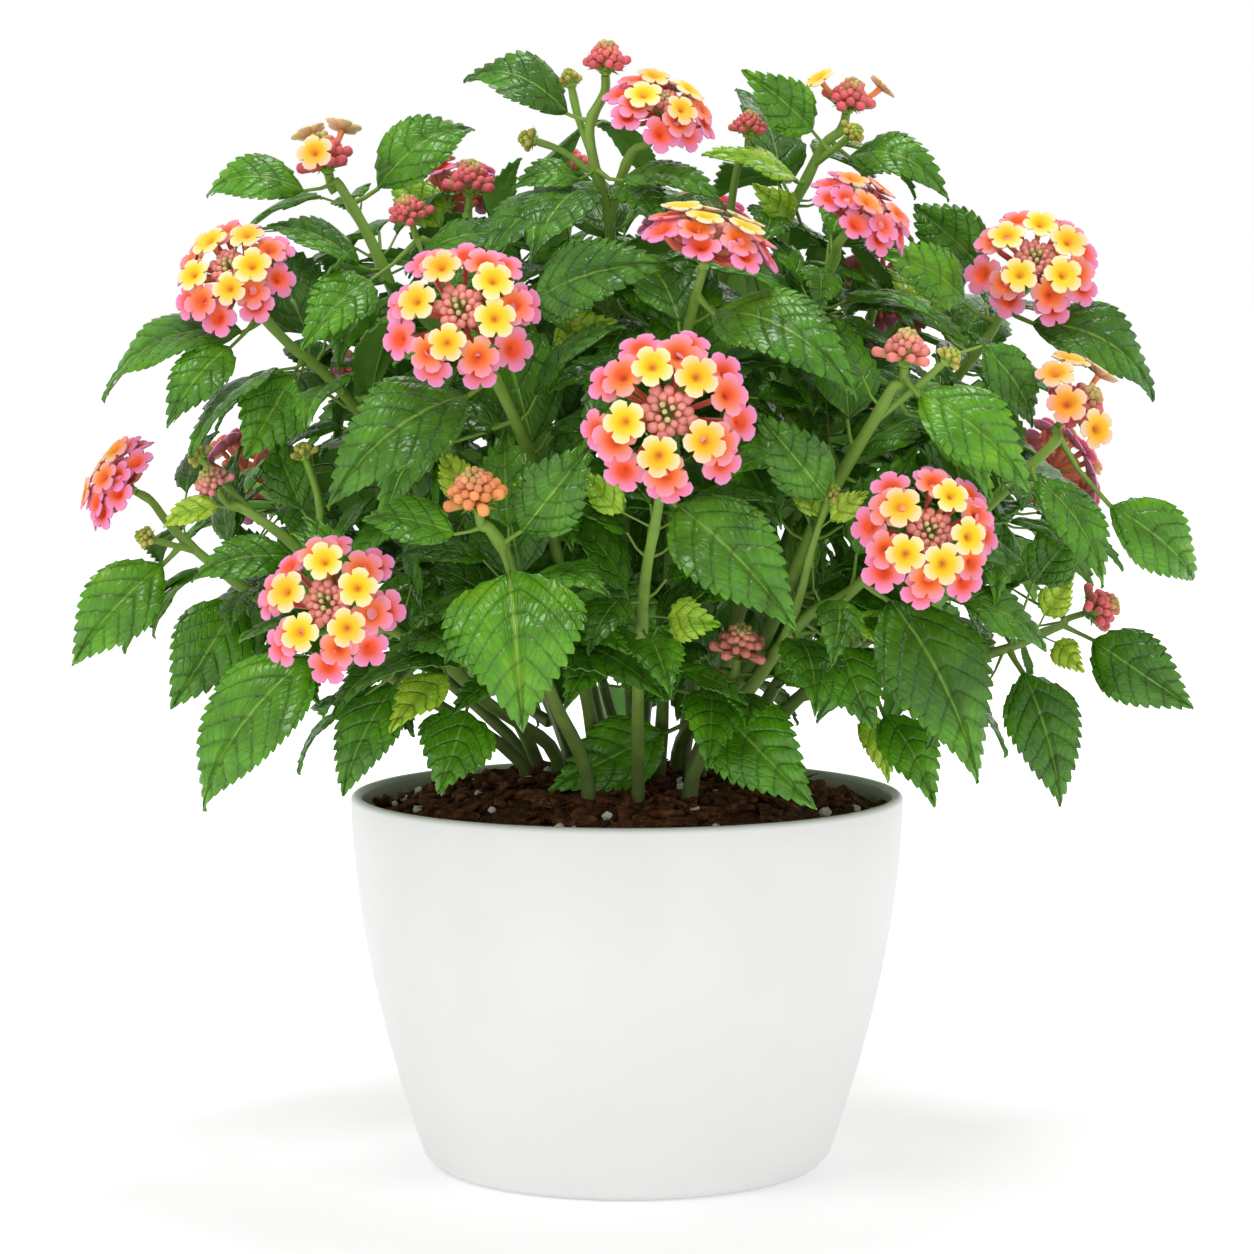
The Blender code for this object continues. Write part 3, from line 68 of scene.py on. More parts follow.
# Pot and heap of mix, as the solids have them
RIM_RADIUS = 75.0 * MM
POT_HEIGHT = 101.0 * MM
FOOT_RADIUS = 54.5 * MM
TAPER_POWER = 1.77
WALL = 3.1 * MM
FLOOR = 4.0 * MM
SOIL_EDGE = 94.0 * MM
SOIL_CROWN = 106.0 * MM
SOIL_LUMP = 1.4 * MM
ROOT_LEVEL = 86.0 * MM

# Stems and leaves, as the solids have them
STEM_FOOT_RADIUS = 2.3 * MM
STEM_TIP_RADIUS = 1.3 * MM
TWIG_RADIUS = 1.15 * MM
LEAF_RATIO = 0.56
LEAF_FOLD = 0.14
LEAF_ARCH = 0.10
LEAF_WIDEST = 0.72
LEAF_TAPER = 0.28
LEAF_FULLNESS = 1.04
TOOTH_REACH = 1.07
TOOTH_FORWARD = 0.018
LARGE_LEAF = 33.0 * MM
PETIOLE_REACH = 6.0 * MM
SMALL_BUD_RADIUS = 3.6 * MM
HEAD_RADIUS = 23.2 * MM
HEAD_FACE = 13.0 * MM

# Half sizes of the bush's domed outline, above and below its middle height
BUSH_WIDE = 0.146
BUSH_DEEP = 0.142
BUSH_FRONT = 0.8
BUSH_MIDDLE = 0.160
BUSH_RISE = 0.136
BUSH_FALL = 0.115

# How deep light goes into leaves and petals, for red, green and blue
SAP_DEPTH = (0.6 * MM, 1.2 * MM, 0.3 * MM)
PETAL_DEPTH = (1.0 * MM, 0.7 * MM, 0.5 * MM)

log = logging.getLogger("lantana")


class Kind(Enum):
    """How far a flower head has opened."""

    OPEN = "open"
    PART = "part"
    BUD = "bud"


class Hue(Enum):
    """The colouring of a head: its florets' ripeness, or its closed buds' colour."""

    MIXED = 0.0
    PINK = 0.42
    PEACH = -0.12
    YELLOW = -0.30
    CRIMSON = 1.0
    CORAL = 2.0
    ORANGE = 3.0
    GREEN = 4.0


@dataclass
class Shoot:
    """A stem, side shoot or flower stalk along points, with the head it carries, if any."""

    points: list
    head: str = ""
    foot: float = STEM_FOOT_RADIUS
    tip: float = STEM_TIP_RADIUS
    rooted: bool = False


@dataclass
class Leaf:
    """A leaf from base to tip, the width it shows from the front, and how high it arches."""

    base: tuple
    tip: tuple
    shown: float
    arch: float = 3.0


@dataclass
class Head:
    """A flower head or bud head: the middle of its face, its axis, radius and colouring."""

    face: tuple
    axis: tuple
    radius: float
    kind: Kind = Kind.OPEN
    hue: Hue = Hue.MIXED
    florets: tuple = ()
    back: bool = False


@dataclass
class LeafyStem:
    """A stem with all that grows from it in one piece."""

    name: str
    shoots: list
    leaves: list = field(default_factory=list)
    fill: int = 2


def stalk(points: list, head: str) -> Shoot:
    """Return a full stem that stands in the mix and ends in a head."""
    return Shoot(points, head, rooted=True)


def twig(points: list, head: str = "") -> Shoot:
    """Return a thin side shoot."""
    return Shoot(points, head, TWIG_RADIUS, TWIG_RADIUS)


HEADS = {
    "flower_head_crown": Head((10, 287.5, 58), (0.30, -0.55, 0.78), 15.2),
    "flower_head_upper_centre": Head((23.5, 253.5, 92), (0.26, -0.16, 0.95), 18.3),
    "flower_head_upper_right": Head((65, 260, 62), (0.55, -0.40, 0.73), 15.0, hue=Hue.PINK),
    "flower_head_right": Head((110, 245.5, 38), (0.08, -0.84, 0.54), 17.9),
    "flower_head_left": Head((-107, 243, 46), (-0.30, -0.78, 0.55), 17.4),
    "flower_head_centre_left": Head((-45, 232, 105), (-0.04, -0.93, 0.36), 19.8),
    "flower_head_centre": Head((11, 204, 125), (0.03, -0.98, 0.14), 21.4),
    "flower_head_lower_right": Head((82, 172, 110), (0.16, -0.95, 0.26), 18.4),
    "flower_head_lower_left": Head((-81.5, 152.5, 110), (-0.20, -0.93, 0.30), 18.8),
    "flower_head_far_left": Head((-140, 187, 34), (-0.80, -0.30, 0.52), 14.5, hue=Hue.PINK),
    "flower_head_far_right": Head((124.5, 208, 58), (0.55, -0.58, 0.60), 13.4, Kind.PART,
                                  Hue.PEACH, (0, 1, 2, 5, 6)),
    "flower_head_top_left": Head((-82, 276, 22), (-0.20, -0.30, 0.93), 12.6, Kind.PART,
                                 Hue.YELLOW, (1, 4, 5)),
    "flower_head_top_right": Head((60.5, 291, 22), (0.22, -0.35, 0.91), 11.0, Kind.PART,
                                  Hue.YELLOW, (0, 4)),
    "flower_head_rear_top": Head((-49, 266, -26), (-0.15, 0.45, 0.88), 16.0, back=True),
    "flower_head_rear_upper": Head((20, 253, -84), (0.10, 0.72, 0.68), 18.5, back=True),
    "flower_head_rear_right": Head((72, 240, -22), (0.45, 0.70, 0.55), 16.0, back=True),
    "flower_head_rear_side": Head((118, 190, -52), (0.70, 0.60, 0.38), 17.0, back=True),
    "flower_head_rear_left": Head((-106, 188, -62), (-0.62, 0.70, 0.34), 16.5, back=True),
    "flower_head_rear_middle": Head((-66, 222, -104), (-0.32, 0.86, 0.40), 19.5, back=True),
    "flower_head_rear_centre": Head((52, 208, -122), (0.18, 0.92, 0.34), 20.0, back=True),
    "flower_head_rear_lower": Head((-14, 172, -138), (-0.05, 0.96, 0.26), 19.0, back=True),
    "bud_head_crown": Head((-5.5, 300.5, 47), (0.05, -0.30, 0.95), 6.4, Kind.BUD, Hue.CRIMSON),
    "bud_head_top": Head((33, 282.5, 22), (0.10, -0.20, 0.97), 5.2, Kind.BUD, Hue.CRIMSON),
    "bud_head_upper_left": Head((-59.3, 259.6, 43), (-0.25, -0.45, 0.85), 5.8, Kind.BUD,
                                Hue.CRIMSON),
    "bud_head_rear_left": Head((-41.7, 268.4, 20), (0.10, -0.25, 0.96), 7.0, Kind.BUD,
                               Hue.CRIMSON),
    "bud_head_right": Head((75.5, 223, 93), (0.08, -0.35, 0.93), 6.9, Kind.BUD, Hue.CORAL),
    "bud_head_front": Head((-41.6, 184.5, 110), (-0.15, -0.50, 0.85), 8.2, Kind.BUD, Hue.ORANGE),
    "bud_head_low": Head((31, 143.2, 60), (0.15, -0.45, 0.88), 7.2, Kind.BUD, Hue.CORAL),
    "bud_head_far_right": Head((130, 151.7, 20), (0.92, -0.20, 0.33), 7.0, Kind.BUD, Hue.CRIMSON),
    "bud_head_far_left": Head((-113, 186.8, 52), (-0.45, -0.50, 0.74), 5.2, Kind.BUD, Hue.GREEN),
    "bud_head_rear_low": Head((84, 158, -98), (0.42, 0.76, 0.50), 7.0, Kind.BUD,
                              Hue.CORAL, back=True),
    "bud_head_rear_edge": Head((-86, 158, -92), (-0.48, 0.74, 0.48), 7.0, Kind.BUD,
                               Hue.GREEN, back=True),
    "bud_head_rear_crown": Head((-15, 272, -50), (-0.10, 0.30, 0.95), 6.4, Kind.BUD,
                                Hue.CRIMSON, back=True),
}

PLANT = [
    LeafyStem("leafy_stem_crown", [
        stalk([(2, 108, 0), (0, 150, 6), (-2, 200, 18), (-4, 235, 30), (-5, 258, 40),
               (-8.5, 269.4, 46), (-10, 281, 46.5)], "bud_head_crown"),
        Shoot([(-4.5, 256, 39), (-2, 266, 45), (1.5, 274, 48)], "flower_head_crown",
              1.6 * MM, 1.2 * MM),
        twig([(-8.6, 271, 46), (-13, 283, 43), (-15, 292, 41)], "bud"),
        twig([(-8, 267, 44.5), (-17, 274, 43), (-25, 277, 42)], "bud"),
        Shoot([(-2, 200, 18), (-12, 222, 45), (-22, 231, 64)], "", 1.7 * MM, 1.1 * MM),
    ], [
        Leaf((-16, 284.6, 46), (-44.4, 293, 40), 13, 8),
        Leaf((-13, 267, 52), (-31, 264.5, 54), 8, 4),
        Leaf((-1, 267, 56), (25.5, 261, 66), 8, 4),
        Leaf((-25, 234, 72), (11, 243.5, 92), 20, 5),
    ]),
    LeafyStem("leafy_stem_centre", [
        stalk([(9, 108, 13), (11, 150, 30), (13, 195, 56), (15.5, 222, 76),
             (18, 233, 84)], "flower_head_upper_centre"),
    ], [
        Leaf((24, 231, 92), (63.5, 211, 112), 20, 7),
    ], fill=4),
    LeafyStem("leafy_stem_upper_right", [
        stalk([(15, 108, -7), (23, 160, 2), (33, 205, 10), (38, 228, 16),
             (40.5, 242.7, 20), (43, 256, 20), (47.8, 265.8, 20), (53, 276, 20)],
            "flower_head_top_right"),
        Shoot([(25, 170, 4), (24.5, 215, 8), (27, 250, 16), (29.5, 269, 20)], "bud_head_top",
              1.7 * MM, 1.1 * MM),
        twig([(50, 270.5, 20), (56, 275, 25), (60, 278.5, 30)], "bud"),
    ], [
        Leaf((50, 279.5, 24), (30.8, 295.4, 30), 14, 4),
        Leaf((60, 273, 18), (87, 262.5, 26), 12, 7),
    ]),
    LeafyStem("leafy_stem_inner_right", [
        stalk([(20, 108, 7), (33, 160, 26), (45, 205, 36), (52.5, 236, 45),
             (56, 246, 50)], "flower_head_upper_right"),
    ], fill=4),
    LeafyStem("leafy_stem_right", [
        stalk([(28, 108, -2), (54, 152, 10), (76, 192, 20), (88, 212, 26),
             (97, 224, 27), (103, 234, 27)], "flower_head_right"),
    ], [
        Leaf((91, 234, 34), (67, 249, 44), 14, 4),
        Leaf((96, 243, 14), (77, 260.7, 4), 18, 3),
        Leaf((109.5, 228.6, 34), (143.7, 209.6, 30), 17, 8),
    ]),
    LeafyStem("leafy_stem_front_right", [
        stalk([(18, 108, 22), (37, 142, 44), (50, 172, 72), (61, 192.5, 84),
             (68, 204, 89), (72, 211, 91)], "bud_head_right"),
        twig([(66.5, 201.5, 88), (77, 210, 90), (86, 218, 92)], "bud"),
    ], [
        Leaf((79, 209, 93), (109.5, 183.3, 97), 20, 6),
        Leaf((80, 203, 74), (100, 181, 76), 10, 3),
        Leaf((96, 222, 62), (111, 200.8, 54), 13, 3),
    ]),
    LeafyStem("leafy_stem_far_right", [
        stalk([(31, 108, 12), (60, 140, 34), (85, 165, 47), (99.8, 181, 54),
             (111, 191.5, 57), (116, 197, 57)], "flower_head_far_right"),
        Shoot([(48, 127.5, 25), (75, 132, 30), (103.5, 140.3, 30), (112.3, 144.2, 25),
               (118, 146.5, 22)], "bud_head_far_right", 1.9 * MM, 1.1 * MM),
    ], [
        Leaf((111, 186, 62), (130, 157.6, 72), 14, 4),
        Leaf((131, 179, 46), (154, 158, 36), 18, 6),
        Leaf((110, 158, 42), (121, 172, 44), 15, 3),
        Leaf((126.3, 142.5, 25), (153.9, 123.5, 30), 20, 5),
        Leaf((107.8, 133.5, 36), (118.8, 97.3, 44), 20, 4),
        Leaf((70, 122, 36), (84, 97.4, 48), 15, 4),
    ]),
    LeafyStem("leafy_stem_low_right", [
        stalk([(18, 106, 38), (34, 130, 54), (48.5, 148.7, 70), (58.9, 154.3, 80),
             (68, 162, 91)], "flower_head_lower_right"),
        Shoot([(42, 141.5, 62.5), (47, 155, 79), (50, 167.5, 89), (54.5, 181, 95)], "bud",
              1.5 * MM, 1.0 * MM),
    ], [
        Leaf((71.3, 153.3, 84), (95.3, 103.5, 96), 28, 7),
        Leaf((90, 154, 86), (114.8, 140.5, 80), 11, 3),
        Leaf((54, 181, 100), (36, 205, 102), 17, 4),
        Leaf((58, 140.8, 66), (65.9, 117.7, 74), 17, 3),
    ]),
    LeafyStem("leafy_stem_front", [
        stalk([(3, 106, 39), (3, 128, 60), (4, 146, 82), (5.2, 161, 94),
             (8, 176, 104), (10, 190, 107)], "flower_head_centre"),
    ], [
        Leaf((13.5, 179, 108), (45.8, 145, 122), 26, 7),
    ]),
    LeafyStem("leafy_stem_front_left", [
        stalk([(-11, 106, 39), (-20, 126, 60), (-27, 147, 83), (-32, 164, 97),
             (-37.5, 173, 104)], "bud_head_front"),
    ], [
        Leaf((-32, 161, 104), (-27, 118.4, 120), 38, 7),
        Leaf((-28.5, 172, 104), (-9, 196, 110), 20, 4),
        Leaf((-46.7, 171.5, 104), (-72.2, 174.7, 100), 13, 4),
        Leaf((-14, 155, 74), (14, 142, 72), 18, 4),
    ]),
    LeafyStem("leafy_stem_centre_left", [
        stalk([(-8, 108, 20), (-14, 142, 42), (-21, 175, 64), (-27.5, 195.5, 80),
             (-33, 208, 88), (-38, 217, 92)], "flower_head_centre_left"),
    ], [
        Leaf((-43, 209, 94), (-82.7, 180.6, 104), 24, 8),
    ], fill=4),
    LeafyStem("leafy_stem_low_left", [
        stalk([(-19, 110, 5), (-30.5, 120.5, 20), (-38.8, 126, 35), (-49.8, 137, 55),
             (-61.5, 144, 74), (-68, 147, 84)], "flower_head_lower_left"),
    ], [
        Leaf((-86, 138, 72), (-116.2, 96, 74), 24, 7),
        Leaf((-63, 130.4, 60), (-77.5, 99.8, 64), 17, 4),
        Leaf((-43.6, 123.2, 44), (-51.1, 101, 56), 21, 2),
    ]),
    LeafyStem("leafy_stem_far_left", [
        stalk([(-28, 108, 7), (-60, 130, 22), (-84, 144, 32), (-102, 155.3, 35),
             (-116.5, 166.6, 33), (-124, 174, 32)], "flower_head_far_left"),
        Shoot([(-66, 133, 25), (-80, 155, 42), (-90, 168, 50), (-103, 177.5, 50)],
              "bud_head_far_left", 1.8 * MM, 1.1 * MM),
        twig([(-84, 160, 45), (-83, 178, 47), (-87, 192, 44)], "bud"),
        twig([(-99, 174.5, 50), (-108, 184, 45), (-115, 191.5, 40)], "bud"),
        twig([(-116.5, 166.6, 33), (-124, 168.5, 36), (-129, 170, 38)], "bud"),
    ], [
        Leaf((-126, 163, 34), (-151.7, 136, 36), 20, 5),
        Leaf((-91, 165, 56), (-118.3, 159.2, 60), 12, 4),
        Leaf((-105.4, 153, 40), (-123.3, 123.3, 48), 22, 5),
        Leaf((-88, 178, 36), (-96, 198, 28), 14, 2),
    ]),
    LeafyStem("leafy_stem_left", [
        stalk([(-24, 108, -6), (-45, 150, 8), (-63, 190, 23), (-78, 211, 33),
             (-91, 222.4, 38), (-99, 231, 40)], "flower_head_left"),
    ], [
        Leaf((-104, 226.3, 40), (-142.7, 209, 34), 11, 7),
        Leaf((-107, 222, 46), (-123.7, 200, 54), 14, 4),
        Leaf((-90, 214, 40), (-104, 192, 46), 20, 3),
    ], fill=4),
    LeafyStem("leafy_stem_upper_left", [
        stalk([(-14, 108, -12), (-32, 155, -2), (-50, 206, 10), (-64, 239, 19),
             (-69.5, 251.5, 20), (-74, 259.5, 20), (-78, 266, 20)], "flower_head_top_left"),
        Shoot([(-27, 142, -5), (-31, 195, 8), (-38, 236, 16), (-42.5, 255, 19)],
              "bud_head_rear_left", 1.9 * MM, 1.1 * MM),
        Shoot([(-37, 231, 15), (-46, 242, 30), (-54, 250, 38)], "bud_head_upper_left",
              1.3 * MM, 1.0 * MM),
    ], [
        Leaf((-87, 264, 24), (-113.6, 262, 20), 12, 7),
        Leaf((-67, 264.5, 14), (-41, 281, 4), 16, 8),
        Leaf((-72, 244, 28), (-100, 254, 26), 8, 4),
        Leaf((-69, 240, 42), (-88.6, 222, 58), 16, 4),
        Leaf((-55, 247, 46), (-26, 250.5, 52), 9, 4),
    ]),
    LeafyStem("leafy_stem_low", [
        stalk([(13.5, 111, 2), (20, 123, 25), (25, 133, 47)], "bud_head_low"),
    ], [
        Leaf((14, 129, 38), (-11.3, 137.4, 50), 14, 3),
        Leaf((39.9, 132.5, 54), (59.3, 142.6, 60), 13, 2),
        Leaf((25.8, 123, 42), (50.5, 96.5, 54), 24, 6),
        Leaf((10, 117, 36), (-21.4, 102, 52), 20, 3),
    ]),
    LeafyStem("leafy_stem_rear_top", [
        stalk([(-6, 111, -20), (-14, 150, -22), (-24, 205, -22), (-36, 245, -20)],
            "flower_head_rear_top"),
        Shoot([(-20, 182, -22.5), (-17, 220, -38), (-16, 252, -46)], "bud_head_rear_crown",
              1.7 * MM, 1.1 * MM),
    ], fill=4),
    LeafyStem("leafy_stem_rear_upper", [
        stalk([(4, 111, -22), (8, 155, -32), (13, 205, -50), (17, 235, -64)],
            "flower_head_rear_upper"),
    ], fill=4),
    LeafyStem("leafy_stem_rear_right", [
        stalk([(22, 110, -14), (38, 155, -16), (54, 200, -14), (64, 224, -12)],
            "flower_head_rear_right"),
    ], fill=4),
    LeafyStem("leafy_stem_rear_side", [
        stalk([(28, 110, -24), (58, 136, -34), (88, 162, -42), (104, 177, -42)],
            "flower_head_rear_side"),
    ], fill=4),
    LeafyStem("leafy_stem_rear_left", [
        stalk([(-27, 110, -18), (-56, 138, -28), (-80, 164, -42), (-93, 178, -50)],
            "flower_head_rear_left"),
    ], fill=4),
    LeafyStem("leafy_stem_rear_middle", [
        stalk([(-16, 112, -31), (-30, 145, -52), (-46, 185, -76), (-56, 205, -86)],
            "flower_head_rear_middle"),
        Shoot([(-21, 120, -38), (-46, 136, -60), (-68, 146, -78)], "bud_head_rear_edge",
              1.8 * MM, 1.1 * MM),
    ], fill=4),
    LeafyStem("leafy_stem_rear_centre", [
        stalk([(14, 112, -33), (27, 142, -56), (40, 178, -88), (46, 194, -100)],
            "flower_head_rear_centre"),
        Shoot([(19, 120, -42), (42, 136, -62), (66, 147, -80)], "bud_head_rear_low",
              1.8 * MM, 1.1 * MM),
    ], fill=4),
    LeafyStem("leafy_stem_rear_lower", [
        stalk([(-2, 112, -43), (-6, 128, -72), (-11, 152, -104), (-13, 162, -114)],
            "flower_head_rear_lower"),
    ], fill=4),
]

YOUNG_LEAVES = {
    "leafy_stem_crown": [Leaf((-20, 222, 48), (-3.3, 228.6, 58), 10)],
    "leafy_stem_upper_right": [Leaf((45, 256, 30), (34, 265, 38), 10, 2),
                               Leaf((46, 266.4, 25), (20.7, 274, 32), 6, 2)],
    "leafy_stem_right": [Leaf((84, 228, 20), (70, 244, 8), 10)],
    "leafy_stem_far_right": [Leaf((113, 149, 30), (121, 160, 36), 9, 1.5),
                             Leaf((116, 142, 30), (124, 134, 36), 8, 1.5),
                             Leaf((64, 122, 22), (72.3, 104, 26), 9, 2)],
    "leafy_stem_low_right": [Leaf((52, 176, 92), (44, 186, 88), 7, 1.5),
                             Leaf((55, 175, 96), (65, 183, 97), 7, 1.5),
                             Leaf((61, 148, 74), (75, 143, 72), 8, 2)],
    "leafy_stem_front": [Leaf((11, 148.5, 88), (25, 147, 94), 12, 2),
                         Leaf((-1, 177, 103), (-12, 188, 102), 9, 2)],
    "leafy_stem_front_left": [Leaf((-42, 179, 100), (-50, 194, 95), 10, 2)],
    "leafy_stem_low_left": [Leaf((-49, 133, 62), (-65, 118, 72), 11, 2)],
    "leafy_stem_far_left": [Leaf((-110.6, 179, 54), (-126, 173.4, 52), 7, 2)],
    "leafy_stem_upper_left": [Leaf((-50, 254, 8), (-63, 268, -2), 12, 2)],
    "leafy_stem_low": [Leaf((20, 112, 20), (31, 107, 26), 7, 1.5)],
}


def seen(place: Sequence[float]) -> Vector:
    """Find a point of the plant.

    Args:
        place: (across, height, near) in millimetres.

    Returns:
        The point, in metres.
    """
    plane = Vector((place[0], 0.0, place[1])) * MM
    return plane + (EYE - plane) * (place[2] * MM / -EYE.y)


def pot_outer_radius(height: float) -> float:
    """Return the pot's outer radius at a height above its base."""
    fall = (1.0 - height / POT_HEIGHT) ** TAPER_POWER
    return RIM_RADIUS - (RIM_RADIUS - FOOT_RADIUS) * fall


def soil_height(x: float, y: float) -> float:
    """Return the height of the heaped mix at a place, with its broad lumps."""
    edge = pot_outer_radius(SOIL_EDGE) - WALL - 0.3 * MM
    share = min(1.0, math.hypot(x, y) / edge)
    heap = SOIL_EDGE + (SOIL_CROWN - SOIL_EDGE) * (1.0 - share ** 2.2)
    lump = noise.noise(Vector((x, y, 0.0)) / (14.0 * MM)) * SOIL_LUMP
    return heap + lump * (1.0 - share ** 6)


def across_frame(axis: Vector) -> tuple[Vector, Vector]:
    """Return two directions across an axis and across each other."""
    side = axis.cross(UP)
    if side.length < 0.2:
        side = axis.cross(Vector((1.0, 0.0, 0.0)))
    side.normalize()
    return side, side.cross(axis).normalized()


def head_frame(head: Head) -> tuple[Vector, Vector, float]:
    """Find where a head sits.

    Args:
        head: The flower head or bud head.

    Returns:
        Its seat on the stalk, its axis, and its size against the drawn head.
    """
    axis = Vector(head.axis).normalized()
    size = head.radius * MM / HEAD_RADIUS
    depth = {Kind.BUD: head.radius * MM * 0.9, Kind.PART: head.radius * MM * 0.62,
             Kind.OPEN: HEAD_FACE * size}[head.kind]
    return seen(head.face) - axis * depth, axis, size


def shoot_path(shoot: Shoot) -> list[Vector]:
    """Return the shoot's points in place, led straight into the seat of its head."""
    points = [seen(point) for point in shoot.points]
    if shoot.rooted:
        points.insert(0, Vector((points[0].x, points[0].y, ROOT_LEVEL)))
    if shoot.head in HEADS:
        seat, axis, _ = head_frame(HEADS[shoot.head])
        points += [seat - axis * 5.0 * MM, seat - axis * 0.3 * MM]
    return points


def closest_on(lines: Iterable[Sequence[Vector]], point: Vector) -> Vector:
    """Return the closest point on any of several lines."""
    best: Optional[Vector] = None
    for line in lines:
        for start, stop in zip(line, line[1:]):
            run = stop - start
            share = max(0.0, min(1.0, (point - start).dot(run) / run.length_squared))
            spot = start + run * share
            if best is None or (spot - point).length < (best - point).length:
                best = spot
    return best


def line_spot(line: Sequence[Vector], distance: float) -> Optional[tuple[Vector, Vector]]:
    """Return the point and direction at a distance back from the end of a line."""
    left = distance
    for start, stop in zip(reversed(line[:-1]), reversed(line[1:])):
        run = stop - start
        if left <= run.length:
            return stop - run.normalized() * left, run.normalized()
        left -= run.length
    return None


def smoothed(points: Sequence[Vector], steps: int) -> list[Vector]:
    """Lead a smooth line through points.

    Args:
        points: The points to pass through.
        steps: How many steps each stretch gets.

    Returns:
        The points of the smooth line, the given ones among them.
    """
    made = []
    for place in range(len(points) - 1):
        before = points[max(place - 1, 0)]
        start, stop = points[place], points[place + 1]
        after = points[min(place + 2, len(points) - 1)]
        for step in range(steps):
            t = step / steps
            made.append(0.5 * (2.0 * start + (stop - before) * t
                               + (2.0 * before - 5.0 * start + 4.0 * stop - after) * t * t
                               + (3.0 * start - before - 3.0 * stop + after) * t ** 3))
    return made + [points[-1].copy()]


@dataclass
class Blade:
    """A leaf in place: where its stalk starts, its base, direction, upper side and sizes."""

    root: Vector
    base: Vector
    along: Vector
    up: Vector
    length: float
    width: float
    arch: float
    youth: float = 0.0
    inner: bool = False

    def half_width(self, share: float) -> float:
        """Return half the width at a share of the length, without teeth."""
        full = math.sin(math.pi * share ** LEAF_WIDEST) * (1.0 - LEAF_TAPER * share * share)
        return self.width / 2 * full * LEAF_FULLNESS

    def point(self, share: float, side: float) -> Vector:
        """Return the point at a share of the length and a distance beside the midrib."""
        rise = self.arch * 4.0 * share * (1.0 - share) + abs(side) * LEAF_FOLD
        return (self.base + self.along * (self.length * share)
                + self.along.cross(self.up) * side + self.up * rise)


def hand_blade(leaf: Leaf, lines: Sequence[Sequence[Vector]], nearer: float = 0.0,
               tip_nearer: float = 0.0, scale: float = 1.0) -> Blade:
    """Lay out a leaf read from the front.

    Args:
        leaf: The leaf's places in the front view.
        lines: The paths of its own shoots.
        nearer: How far the whole leaf moves towards the eye, in millimetres.
        tip_nearer: How far its tip moves besides.
        scale: The share of its length that it keeps.

    Returns:
        The leaf in place, with its stalk rooted on the closest shoot.
    """
    base = seen((leaf.base[0], leaf.base[1], leaf.base[2] + nearer))
    end = seen((leaf.tip[0], leaf.tip[1], leaf.tip[2] + nearer + tip_nearer))
    along = (end - base).normalized()
    length = (end - base).length * scale
    shown = leaf.shown * MM * (1.0 - leaf.base[2] / 1060.0)
    width = max(LEAF_RATIO * length, shown)
    share = min(1.0, shown / width)
    toward = (EYE - base).normalized()
    facing = (toward - along * toward.dot(along)).normalized()
    over = along.cross(facing)
    if over.z < 0:
        over.negate()
    up = (facing * share + over * math.sqrt(max(0.0, 1.0 - share * share))).normalized()
    root = closest_on(lines, base - along * PETIOLE_REACH)
    return Blade(root, base, along, up, length, width, leaf.arch * MM)


def spoke(axis: Vector, turn: float) -> Vector:
    """Return the direction across an axis at an angle round it."""
    side, rise = across_frame(axis)
    return side * math.cos(turn) + rise * math.sin(turn)


def rule_blade(rng: random.Random, spot: Vector, run: Vector, turn: float,
               size: float) -> Blade:
    """Lay out a leaf of the opposite pairs along a shoot, drooping outwards.

    Args:
        rng: The source of its small differences.
        spot: Where it grows on the shoot.
        run: The shoot's direction there.
        turn: The angle round the shoot.
        size: The blade's length.

    Returns:
        The leaf in place.
    """
    out = spoke(run, turn)
    away = Vector((spot.x, spot.y, 0.0))
    if away.length > 1.0 * MM:
        away.normalize()
    lead = (out * 0.9 + run * 0.35 + Vector((0, 0, 0.25))).normalized()
    base = spot + lead * rng.uniform(7.0, 11.0) * MM
    along = (out * 1.0 + away * 0.55 + Vector((0, 0, rng.uniform(-0.55, 0.15)))).normalized()
    up = Vector((away.x * 0.5, away.y * 0.5, 1.0))
    up = (up - along * up.dot(along)).normalized()
    return Blade(spot, base, along, up, size, size * LEAF_RATIO, size * LEAF_ARCH, inner=True)


@dataclass
class Grown:
    """A leafy stem worked out in place."""

    stem: LeafyStem
    lines: list
    blades: list = field(default_factory=list)


